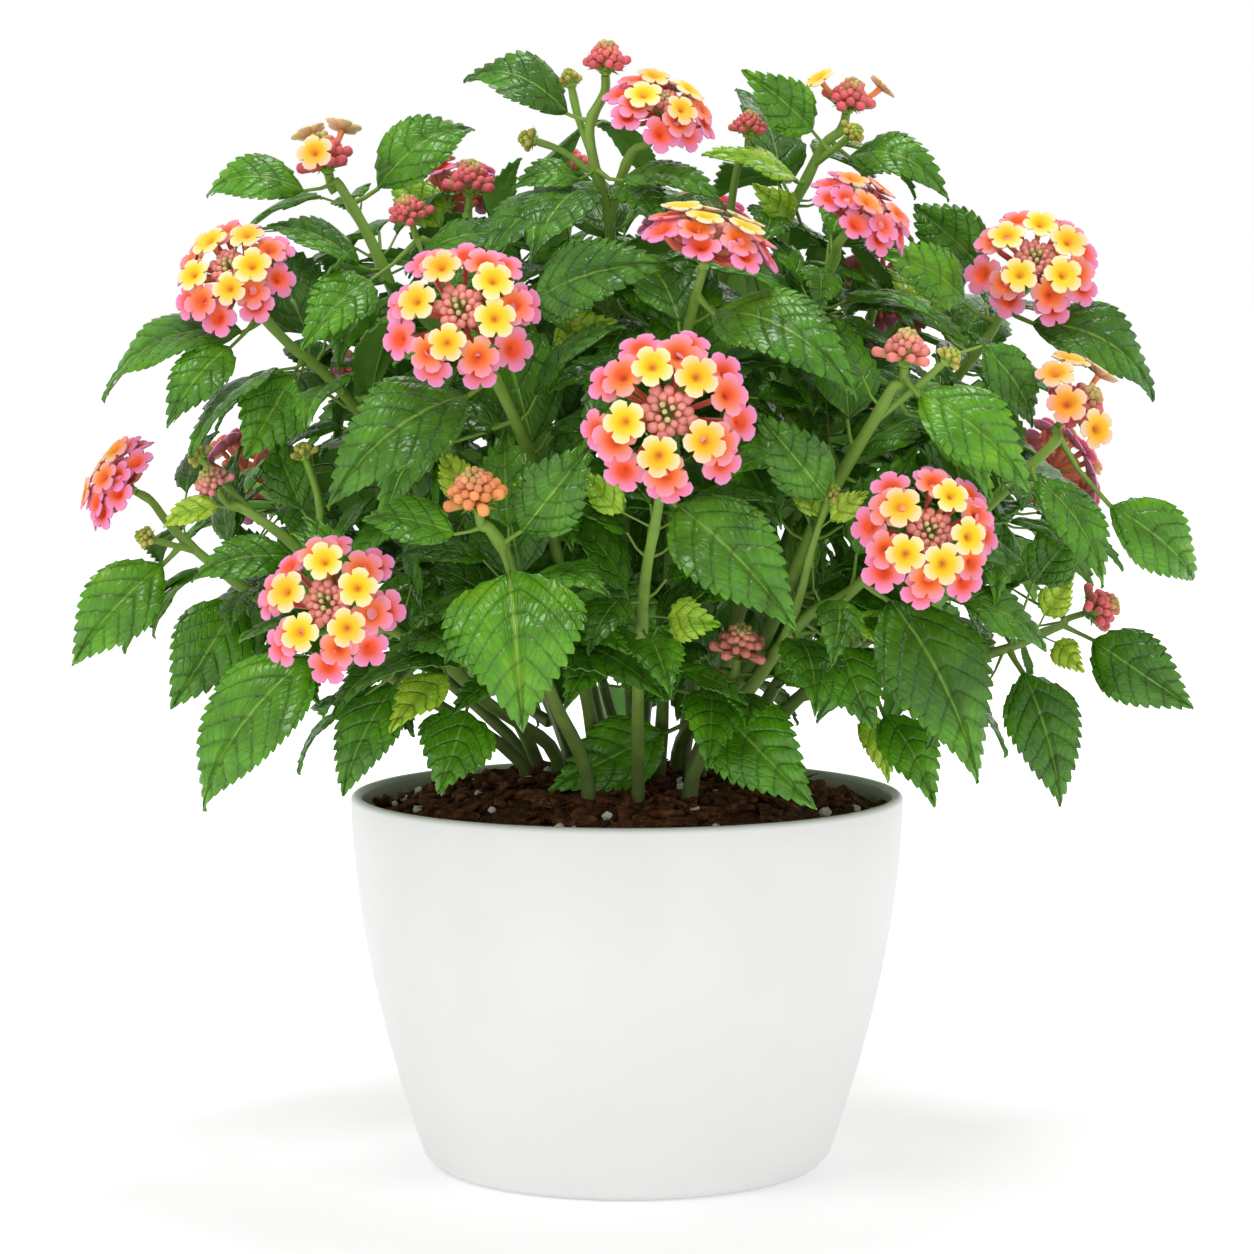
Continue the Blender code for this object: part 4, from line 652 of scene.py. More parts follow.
class Layout:
    """Works out where every shoot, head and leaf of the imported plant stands.

    The solids were grown by the same rule from the same seed, so a leaf is taken where the
    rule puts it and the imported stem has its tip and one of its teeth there.
    """

    NEAR_STEPS = (0, 3, -3, 6, -6, 9, -9, 12, -12, 16, -16, 20, -20)
    TIP_STEPS = (0, 6, -6, 12, -12)
    SCALES = (1.0, 0.92, 0.84)
    SWINGS = (0.0, 0.3, -0.3, 0.6, -0.6, 0.9, -0.9)
    MATCH = 0.03 * MM
    # Opposite pairs along a shoot: where they start and how far apart they are
    FIRST_PAIR = 14.0 * MM
    PAIR_STEP = (15.0, 21.0)
    LOWEST_PAIR = 0.122
    YOUTH = 0.8
    # Small inner leaves along the shoots, then small ones deep in the bush
    INNER_A_STEM = 9
    FIRST_INNER = 18.0 * MM
    INNER_STEP = (9.0, 14.0)
    INNER_SIZE = (19.0, 36.0)
    LOWEST_INNER = 0.112
    CORE = 0.84
    CORE_TRIES = 2600
    CORE_BOX = ((-0.115, 0.115), (-0.085, 0.095), (0.130, 0.262))
    CORE_SIZE = (18.0, 38.0)
    CORE_STALK = (4.0 * MM, 26.0 * MM)
    LOWEST_ROOT = 0.105

    def __init__(self, nodes: dict) -> None:
        """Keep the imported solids' corners and faces to compare with."""
        self.rng = random.Random(SEED)
        self.corners = {}
        points: list[Vector] = []
        faces: list[list[int]] = []
        for name, node in nodes.items():
            mesh = node.data
            tree = KDTree(len(mesh.vertices))
            for vert in mesh.vertices:
                tree.insert(vert.co, vert.index)
            tree.balance()
            self.corners[name] = tree
            start = len(points)
            points += [vert.co.copy() for vert in mesh.vertices]
            faces += [[start + index for index in face.vertices] for face in mesh.polygons]
        self.solids = [BVHTree.FromPolygons(points, faces)]
        self.spins = {name: self.rng.uniform(0.0, math.tau) for name in HEADS}
        self.grown = [Grown(stem, [shoot_path(shoot) for shoot in stem.shoots])
                      for stem in PLANT]

    def held(self, name: str, blade: Blade) -> bool:
        """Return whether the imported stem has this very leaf."""
        tree = self.corners[name]
        steps = 8 if blade.length > LARGE_LEAF and not blade.inner else 6
        share = 3 / steps + TOOTH_FORWARD
        reach = blade.half_width(share) * TOOTH_REACH
        if tree.find(blade.point(1.0, 0.0))[2] > self.MATCH:
            return False
        return any(tree.find(blade.point(share, reach * side))[2] < self.MATCH
                   for side in (1, -1))

    def hand_leaf(self, one: Grown, leaf: Leaf) -> Optional[Blade]:
        """Return a leaf read from the front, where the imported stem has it."""
        for scale, nearer, tip_nearer in product(self.SCALES, self.NEAR_STEPS, self.TIP_STEPS):
            blade = hand_blade(leaf, one.lines, nearer, tip_nearer, scale)
            if self.held(one.stem.name, blade):
                return blade
        return None

    def fill(self, one: Grown) -> Iterator[Blade]:
        """Yield the leaves in opposite pairs along the shoots of a packed stem."""
        found = 0
        for line in one.lines:
            place = self.FIRST_PAIR
            quarter = self.rng.uniform(0.0, math.tau)
            while found < one.stem.fill:
                at = line_spot(line, place)
                if at is None or at[0].z < self.LOWEST_PAIR:
                    break
                for half in (0, 1):
                    size = min(46.0, 22.0 + place / MM * 0.5) * self.rng.uniform(0.85, 1.1) * MM
                    blade = self.rule_leaf(one.stem.name, at, quarter + math.pi * half, size)
                    if blade:
                        found += 1
                        yield blade
                place += self.rng.uniform(*self.PAIR_STEP) * MM
                quarter += math.pi / 2

    def rule_leaf(self, name: str, at: tuple, turn: float, size: float) -> Optional[Blade]:
        """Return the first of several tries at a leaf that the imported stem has."""
        for attempt, swing in enumerate(self.SWINGS):
            blade = rule_blade(self.rng, *at, turn + swing, size * (0.94 ** attempt))
            if self.held(name, blade):
                return blade
        return None

    def grow(self) -> None:
        """Find every leaf of the solids, then add the young and the inner ones."""
        for one in self.grown:
            found = [self.hand_leaf(one, leaf) for leaf in one.stem.leaves]
            one.blades += [blade for blade in found if blade]
        for one in self.grown:
            one.blades += list(self.fill(one))
        log.info("leaves of the solids: %d", sum(len(one.blades) for one in self.grown))
        for one in self.grown:
            for leaf in YOUNG_LEAVES.get(one.stem.name, ()):
                one.blades.append(replace(hand_blade(leaf, one.lines), youth=self.YOUTH))
        rng = random.Random(SEED + 1)
        self.fill_shoots(rng)
        self.fill_core(rng)
        log.info("leaves in all: %d", sum(len(one.blades) for one in self.grown))

    def fill_shoots(self, rng: random.Random) -> None:
        """Add small leaves in pairs along each stem's shoots, where they have room."""
        for one in self.grown:
            room = self.INNER_A_STEM
            for line in one.lines:
                place = self.FIRST_INNER
                quarter = rng.uniform(0.0, math.tau)
                while room > 0:
                    at = line_spot(line, place)
                    if at is None or at[0].z < self.LOWEST_INNER:
                        break
                    for half in (0, 1):
                        for swing in self.SWINGS:
                            size = rng.uniform(*self.INNER_SIZE) * MM
                            blade = rule_blade(rng, *at, quarter + half * math.pi + swing, size)
                            if self.roomy(blade):
                                one.blades.append(blade)
                                room -= 1
                                break
                    place += rng.uniform(*self.INNER_STEP) * MM
                    quarter += math.pi / 2

    def fill_core(self, rng: random.Random) -> None:
        """Add small leaves at random places deep in the bush, where they have room."""
        for _ in range(self.CORE_TRIES):
            spot = Vector([rng.uniform(*span) for span in self.CORE_BOX])
            if not in_envelope(spot, self.CORE):
                continue
            one = min(self.grown, key=lambda each: (closest_on(each.lines, spot) - spot).length)
            root = closest_on(one.lines, spot)
            near, far = self.CORE_STALK
            if not near < (root - spot).length < far or root.z < self.LOWEST_ROOT:
                continue
            blade = rule_blade(rng, spot, (spot - root).normalized(), rng.uniform(0, math.tau),
                               rng.uniform(*self.CORE_SIZE) * MM)
            blade.root = root
            if self.roomy(blade, self.CORE):
                one.blades.append(blade)

    def roomy(self, blade: Blade, share: float = 1.0) -> bool:
        """Keep a leaf's outline if it clears the rest, the outline of the bush and the heads.

        Args:
            blade: The leaf in place.
            share: The share of the bush's outline that it has to stay in.

        Returns:
            Whether the leaf has room.
        """
        if not all(in_envelope(blade.point(part, 0.0), share) for part in (0.5, 1.0)):
            return False
        if hides_front(blade):
            return False
        points = [blade.point(0.12, 0.0), blade.point(1.0, 0.0)]
        for part in (0.35, 0.7):
            half = blade.half_width(part)
            points += [blade.point(part, side) for side in (half, 0.0, -half)]
        if not all(above_pot(point) for point in points) or bares_mix(points):
            return False
        faces = [(0, 2, 3), (0, 3, 4), (2, 5, 6, 3), (3, 6, 7, 4), (5, 1, 6), (6, 1, 7)]
        tree = BVHTree.FromPolygons(points, faces)
        if any(tree.overlap(other) for other in self.solids):
            return False
        self.solids.append(tree)
        return True


def above_pot(point: Vector) -> bool:
    """Return whether a point is clear of the mix and of the pot's rim."""
    reach = math.hypot(point.x, point.y)
    if reach > RIM_RADIUS + 1.5 * MM:
        return True
    if reach > pot_outer_radius(SOIL_EDGE) - WALL:
        return point.z > POT_HEIGHT + 1.0 * MM
    return point.z > soil_height(point.x, point.y) + 2.0 * MM


def bares_mix(points: Sequence[Vector]) -> bool:
    """Return whether a leaf would hide the mix that shows over the pot's front rim."""
    return any(point.z < 0.128 and point.y < 0.04 and abs(point.x) < 0.075
               for point in points)


def in_envelope(point: Vector, share: float = 1.0) -> bool:
    """Return whether a point lies inside the bush's domed outline, or a share of its size."""
    x, y, z = point
    if z < 0.104 and math.hypot(x, y) < RIM_RADIUS + 4.0 * MM or z < 0.096:
        return False
    deep = BUSH_DEEP * (1.0 if y > 0 else BUSH_FRONT)
    rise = (z - BUSH_MIDDLE) / (BUSH_RISE if z > BUSH_MIDDLE else BUSH_FALL)
    return (x / BUSH_WIDE) ** 2 + (y / deep) ** 2 + rise ** 2 < share ** 2


def hides_front(blade: Blade) -> bool:
    """Return whether a leaf would stand before a flower head as seen from the front."""
    for share, side in product((0.1, 0.3, 0.5, 0.7, 0.9, 1.0), (-0.4, 0.0, 0.4)):
        spot = blade.point(share, side * blade.width)
        if spot.y > -20.0 * MM:
            continue
        scale = EYE.y / (EYE.y - spot.y)
        across = spot.x * scale
        height = EYE.z + (spot.z - EYE.z) * scale
        for head in HEADS.values():
            gap = math.hypot(across - head.face[0] * MM, height - head.face[1] * MM)
            if (not head.back and gap < (head.radius + 3.0) * MM
                    and -spot.y > (head.face[2] - 14.0) * MM):
                return True
    return False


def linear(colour: str) -> tuple[float, float, float]:
    """Turn an sRGB hex colour into linear red, green and blue."""
    parts = [int(colour[place:place + 2], 16) / 255.0 for place in (1, 3, 5)]
    return tuple(part / 12.92 if part <= 0.04045 else ((part + 0.055) / 1.055) ** 2.4
                 for part in parts)


def tones_of(colours: Sequence[str]) -> np.ndarray:
    """Return sRGB hex colours as rows of linear red, green and blue."""
    return np.array([linear(colour) for colour in colours])


def blend(first: np.ndarray, second: np.ndarray, share: np.ndarray) -> np.ndarray:
    """Return the mix of two values, all of the first at 0 and all of the second at 1."""
    return first * (1 - share) + second * share


def add_node(tree: bpy.types.NodeTree, kind: str, links: Optional[dict] = None,
             **settings: object) -> bpy.types.Node:
    """Add a node to a material.

    Args:
        tree: The material's node tree.
        kind: The node's type name.
        links: Sockets or plain values by input name or number.
        settings: The node's own properties, and ramp, a list of (place, hex colour or grey).

    Returns:
        The new node.
    """
    node = tree.nodes.new(kind)
    ramp = settings.pop("ramp", None)
    for name, value in settings.items():
        setattr(node, name, value)
    if ramp:
        elements = node.color_ramp.elements
        while len(elements) < len(ramp):
            elements.new(0.5)
        for element, (place, tone) in zip(elements, ramp):
            element.position = place
            element.color = (*(linear(tone) if isinstance(tone, str) else (tone,) * 3), 1.0)
    for name, value in (links or {}).items():
        if isinstance(value, bpy.types.NodeSocket):
            tree.links.new(value, node.inputs[name])
        else:
            node.inputs[name].default_value = value
    return node


class Recipe:
    """A material that is put together node by node round its Principled shader."""

    def __init__(self, name: str, **values: object) -> None:
        """Start the material.

        Args:
            name: The finish's plain name.
            values: Constant values for the shader's sockets, with _ for each space.
        """
        self.made = bpy.data.materials.new(name)
        self.made.use_nodes = True
        self.tree = self.made.node_tree
        self.shader = self.tree.nodes["Principled BSDF"]
        for socket, value in values.items():
            self.shader.inputs[socket.replace("_", " ")].default_value = value
        self.place = add_node(self.tree, "ShaderNodeTexCoord").outputs["Object"]

    def link(self, value: bpy.types.NodeSocket, socket: str) -> None:
        """Lead a value into one of the shader's sockets."""
        self.tree.links.new(value, self.shader.inputs[socket])

    def sums(self, operation: str, *values: object, clamp: bool = False) -> bpy.types.NodeSocket:
        """Return one sum of sockets or plain numbers."""
        return add_node(self.tree, "ShaderNodeMath", dict(enumerate(values)),
                        operation=operation, use_clamp=clamp).outputs[0]

    def axes(self, vector: bpy.types.NodeSocket) -> tuple:
        """Return a vector's three parts."""
        return tuple(add_node(self.tree, "ShaderNodeSeparateXYZ", {"Vector": vector}).outputs)

    def noise(self, per_metre: float, detail: float, **more: float) -> bpy.types.NodeSocket:
        """Return noise over the object's own coordinates."""
        return add_node(self.tree, "ShaderNodeTexNoise",
                        {"Vector": self.place, "Scale": per_metre, "Detail": detail,
                         **more}).outputs["Fac"]

    def ramp(self, value: bpy.types.NodeSocket, stops: Sequence) -> bpy.types.NodeSocket:
        """Return the colour of a ramp of (place, hex colour or grey) at a value."""
        return add_node(self.tree, "ShaderNodeValToRGB", {"Fac": value},
                        ramp=stops).outputs["Color"]

    def spread(self, value: bpy.types.NodeSocket, low: float, high: float,
               start: float = 0.0, stop: float = 1.0) -> bpy.types.NodeSocket:
        """Spread a value over a range.

        Args:
            value: The value.
            low: What it becomes at the start.
            high: What it becomes at the stop.
            start: Where it starts.
            stop: Where it stops.

        Returns:
            The spread value.
        """
        return add_node(self.tree, "ShaderNodeMapRange",
                        {"Value": value, 1: start, 2: stop, 3: low, 4: high}).outputs["Result"]

    def shaded(self, colour: bpy.types.NodeSocket,
               level: bpy.types.NodeSocket) -> bpy.types.NodeSocket:
        """Return a colour made darker or lighter by a level."""
        return add_node(self.tree, "ShaderNodeVectorMath", {0: colour, 1: level},
                        operation="MULTIPLY").outputs[0]

    def finish(self, colour: bpy.types.NodeSocket, height: bpy.types.NodeSocket,
               strength: float, depth: float) -> bpy.types.Material:
        """Give the material its colour and its bump.

        Args:
            colour: The colour.
            height: The height of its small forms, from 0 to 1.
            strength: How strongly they show.
            depth: How deep they are, in metres.

        Returns:
            The finished material.
        """
        self.link(colour, "Base Color")
        bump = add_node(self.tree, "ShaderNodeBump",
                        {"Height": height, "Strength": strength, "Distance": depth})
        self.link(bump.outputs["Normal"], "Normal")
        return self.made


@dataclass(frozen=True)
class LeafFinish:
    """Living leaf: a waxy rough upper side, dark green and quilted between its veins, with
    painted shade in the vein grooves and painted light on the pillows.
    """

    name: str = "lantana_leaf"
    greens: tuple = ((0.0, "#3a6c0a"), (0.35, "#5a9c12"), (0.70, "#8abe20"), (1.0, "#b2d038"))
    vein: str = "#9cc84c"
    side_vein: tuple = ((0.0, 0.8), (0.04, 0.5), (0.13, 0.0))
    midrib: tuple = ((0.0, 0.8), (0.02, 0.5), (0.045, 0.0))
    blotch: float = 11.1111 * MM
    pillow: tuple = ((0.0, 0.0), (0.10, 0.55), (0.22, 0.85), (0.5, 1.0))
    roughness: tuple = (0.20, 0.35)

    def build(self) -> bpy.types.Material:
        """Return the material."""
        mix = Recipe(self.name, IOR=1.48, Subsurface_Weight=0.06,
                     Subsurface_Radius=SAP_DEPTH, Subsurface_Scale=1.0)
        data = add_node(mix.tree, "ShaderNodeAttribute", attribute_name="leaf")
        phase, across, age_and_inner_shade = mix.axes(data.outputs["Vector"])
        blotch = mix.noise(1.0 / self.blotch, 3.0)
        # The greens follow the leaf's youth, its painted inner shade and a blotch noise
        age_and_inner_shade = mix.sums("SUBTRACT", mix.sums("ADD", age_and_inner_shade, blotch), 0.5, clamp=True)
        # Side veins run where the phase is a whole number, the midrib where across is zero
        phase = mix.sums("FRACT", mix.sums("ADD", phase, 0.5))
        phase = mix.sums("ABSOLUTE", mix.sums("SUBTRACT", phase, 0.5))
        midrib = mix.ramp(mix.sums("ABSOLUTE", across), self.midrib)
        colour = add_node(mix.tree, "ShaderNodeMix",
                          {"Factor": midrib, 6: mix.ramp(age_and_inner_shade, self.greens),
                           7: (*linear(self.vein), 1.0)}, data_type="RGBA").outputs[2]
        # Cross ribs: the plan's U counts side veins, its V counts ribs along each vein
        plan = add_node(mix.tree, "ShaderNodeUVMap", uv_map="plan")
        ribs = add_node(mix.tree, "ShaderNodeTexVoronoi",
                        {"Vector": plan.outputs["UV"], "Scale": 1.0, "Randomness": 0.6},
                        feature="DISTANCE_TO_EDGE")
        pillow = mix.ramp(ribs.outputs["Distance"], self.pillow)
        height = mix.sums("SUBTRACT", mix.sums("MULTIPLY", pillow, 0.5),
                          mix.ramp(phase, self.side_vein))
        mix.link(mix.spread(blotch, *self.roughness), "Roughness")
        # Painted shade and light: the green is darkened in the vein grooves and lightened on the
        # pillows between them
        painted_quilt_shade = mix.spread(height, 0.58, 1.08, -0.8, 0.5)
        return mix.finish(mix.shaded(colour, painted_quilt_shade), height, 0.9, 0.38 * MM)


@dataclass(frozen=True)
class SoftGreenFinish:
    """Leaf underside, stalk, stem or bract: plain living green, lighter higher up where young,
    and darker low in the bush as painted shade.
    """

    name: str
    # low is the colour near the mix, darkened as painted shade; high is the colour higher up
    low: str
    high: str
    roughness: float = 0.5
    fibre: float = 4.8 * MM

    def build(self) -> bpy.types.Material:
        """Return the material: green that darkens towards the mix, painted shade low in the bush,
        and on stems also their browner wood.
        """
        mix = Recipe(self.name, IOR=1.42, Roughness=self.roughness, Subsurface_Weight=0.05,
                     Subsurface_Radius=SAP_DEPTH)
        # Painted shade: the green darkens from 0.19 m down to 0.10 m, low in the bush; on stems
        # this also stands for their woody foot
        painted_shade_and_wood_by_height = mix.spread(mix.axes(mix.place)[2], 0.0, 1.0, 0.100, 0.190)
        grain = mix.noise(1.0 / self.fibre, 4.0)
        tone = mix.sums("SUBTRACT", mix.sums("ADD", painted_shade_and_wood_by_height, grain), 0.5, clamp=True)
        colour = mix.ramp(tone, ((0.0, self.low), (1.0, self.high)))
        return mix.finish(colour, grain, 0.35, 0.25 * MM)


@dataclass(frozen=True)
class BloomFinish:
    """Petal, tube or bud: thin soft tissue, coloured by the ripeness held in its points."""

    name: str
    roughness: float = 0.5
    streak: float = 0.8 * MM
    depth: float = 0.05

    def build(self) -> bpy.types.Material:
        """Return the material."""
        mix = Recipe(self.name, IOR=1.40, Roughness=self.roughness, Subsurface_Weight=0.10,
                     Subsurface_Radius=PETAL_DEPTH)
        tint = add_node(mix.tree, "ShaderNodeAttribute", attribute_name="bloom")
        grain = mix.noise(1.0 / self.streak, 2.0)
        level = mix.spread(grain, 1.0 - self.depth * 2.0, 1.0 + self.depth)
        return mix.finish(mix.shaded(tint.outputs["Color"], level), grain, 0.25, 0.15 * MM)


@dataclass(frozen=True)
class PotFinish:
    """Injection-moulded polypropylene with a fine spark-eroded matt skin."""

    name: str = "matt_white_polypropylene"
    tones: tuple = ((0.3, "#eaeae9"), (0.7, "#eeeeed"))
    cloud: float = 40.0 * MM
    grain: float = 0.5 * MM

    def build(self) -> bpy.types.Material:
        """Return the material: a broad soft gloss with a barely seen grain."""
        mix = Recipe(self.name, IOR=1.49, Subsurface_Weight=0.0)
        colour = mix.ramp(mix.noise(1.0 / self.cloud, 3.0), self.tones)
        grain = mix.noise(1.0 / self.grain, 2.0)
        mix.link(mix.spread(grain, 0.40, 0.50), "Roughness")
        return mix.finish(colour, grain, 0.08, 0.05 * MM)


@dataclass(frozen=True)
class MixFinish:
    """Composted bark, coir fibre or perlite: dry, crumbly and matt, each bit its own tone."""

    name: str
    tones: tuple
    crumb: float = 1.6 * MM
    roughness: float = 0.93

    def build(self) -> bpy.types.Material:
        """Return the material."""
        mix = Recipe(self.name, Roughness=self.roughness, Specular_IOR_Level=0.2)
        crumb = mix.noise(1.0 / self.crumb, 5.0, Roughness=0.65)
        last = len(self.tones) - 1
        colour = mix.ramp(crumb, [(0.30 + 0.40 * step / last, tone)
                                  for step, tone in enumerate(self.tones)])
        return mix.finish(colour, crumb, 0.8, 0.6 * MM)


class Palette:
    """Every finish of the plant, built once."""

    def __init__(self) -> None:
        """Build the materials."""
        self.leaf = LeafFinish().build()
        self.underside = SoftGreenFinish("leaf_underside", "#4f8a2c", "#78ac44", 0.6).build()
        self.stem = SoftGreenFinish("green_stem", "#5a6b32", "#7fa53e").build()
        self.petal = BloomFinish("petal").build()
        self.tube = BloomFinish("floret_tube", 0.45).build()
        self.bud = BloomFinish("closed_bud", 0.5, 0.6 * MM, 0.10).build()
        self.bract = SoftGreenFinish("bract", "#4f7f2c", "#8fb84a").build()
        self.pot = PotFinish().build()
        self.mix = MixFinish("bark_mix", ("#2c180f", "#52321f", "#7e5238")).build()
        self.bark = MixFinish("bark_chip", ("#301a10", "#5c3622", "#8c5c3e"), 2.4 * MM).build()
        self.perlite = MixFinish("perlite", ("#c9c2b8", "#e9e5de", "#f6f4f0"), 0.8 * MM,
                                 0.8).build()


def deselect() -> None:
    """Leave edit mode and deselect every object."""
    if bpy.context.mode != "OBJECT":
        bpy.ops.object.mode_set(mode="OBJECT")
    for thing in bpy.context.selected_objects:
        thing.select_set(False)


def new_object(name: str, data: bpy.types.ID) -> bpy.types.Object:
    """Return a new object of the scene that shows some data."""
    made = bpy.data.objects.new(name, data)
    bpy.context.scene.collection.objects.link(made)
    return made


def pick(piece: bpy.types.Object) -> None:
    """Make one object the active one and the only one selected."""
    deselect()
    bpy.context.view_layer.objects.active = piece
    piece.select_set(True)


def start_edit(piece: bpy.types.Object) -> None:
    """Go into edit mode on one object, with all of its mesh selected."""
    pick(piece)
    bpy.ops.object.mode_set(mode="EDIT")
    bpy.ops.mesh.select_mode(type="VERT")
    bpy.ops.mesh.select_all(action="SELECT")


def end_edit() -> None:
    """Go back to object mode."""
    bpy.ops.object.mode_set(mode="OBJECT")


def turn_outward(piece: bpy.types.Object) -> None:
    """Turn all of a closed mesh's faces outward."""
    start_edit(piece)
    bpy.ops.mesh.normals_make_consistent(inside=False)
    end_edit()


def coordinates(piece: bpy.types.Object) -> np.ndarray:
    """Return a mesh's points as rows."""
    flat = np.empty(len(piece.data.vertices) * 3)
    piece.data.vertices.foreach_get("co", flat)
    return flat.reshape(-1, 3)


def move_to(piece: bpy.types.Object, points: np.ndarray) -> None:
    """Put a mesh's points where the rows say."""
    piece.data.vertices.foreach_set("co", np.ascontiguousarray(points).ravel())
    piece.data.update()


def stand(piece: bpy.types.Object, points: np.ndarray, place: Matrix) -> None:
    """Put a mesh's points where the rows say, as seen in a frame."""
    move_to(piece, points @ np.array(place.to_3x3()).T + np.array(place.translation))


def copy_of(template: bpy.types.Object, name: str,
            finish: Optional[bpy.types.Material] = None) -> bpy.types.Object:
    """Return a copy of a piece with its own mesh and finish."""
    made = new_object(name, template.data.copy())
    if finish:
        made.data.materials.append(finish)
    return made


def joined(parts: Sequence[bpy.types.Object], name: str) -> bpy.types.Object:
    """Join parts into one piece.

    Args:
        parts: The parts, the first of which keeps its material order.
        name: The name of the piece.

    Returns:
        The joined piece.
    """
    deselect()
    for part in parts:
        part.select_set(True)
    bpy.context.view_layer.objects.active = parts[0]
    if len(parts) > 1:
        bpy.ops.object.join()
    made = bpy.context.view_layer.objects.active
    made.name = name
    made.data.name = name
    return made


def paint(piece: bpy.types.Object, name: str, colours: np.ndarray) -> None:
    """Keep a colour for each point of a mesh in an attribute."""
    held = piece.data.attributes.get(name) or piece.data.attributes.new(
        name, "FLOAT_COLOR", "POINT")
    rows = np.ones((len(piece.data.vertices), 4))
    rows[:, :3] = colours
    held.data.foreach_set("color", rows.ravel())


def apply_all(piece: bpy.types.Object) -> None:
    """Apply every modifier of a piece."""
    pick(piece)
    for modifier in list(piece.modifiers):
        bpy.ops.object.modifier_apply(modifier=modifier.name)


def smooth(piece: bpy.types.Object, degrees: float) -> None:
    """Shade a piece smooth, but for edges sharper than an angle."""
    pick(piece)
    bpy.ops.object.shade_smooth_by_angle(angle=math.radians(degrees))


def frame_at(origin: Vector, axis: Vector, toward: Optional[Vector] = None) -> Matrix:
    """Return the frame at a point whose Z is an axis and whose X leans towards a direction."""
    flat = across_frame(axis)[0] if toward is None else toward - axis * toward.dot(axis)
    if flat.length < 1e-6:
        flat = across_frame(axis)[0]
    flat.normalize()
    turn = Matrix((flat, axis.cross(flat), axis)).transposed().to_4x4()
    return Matrix.Translation(origin) @ turn


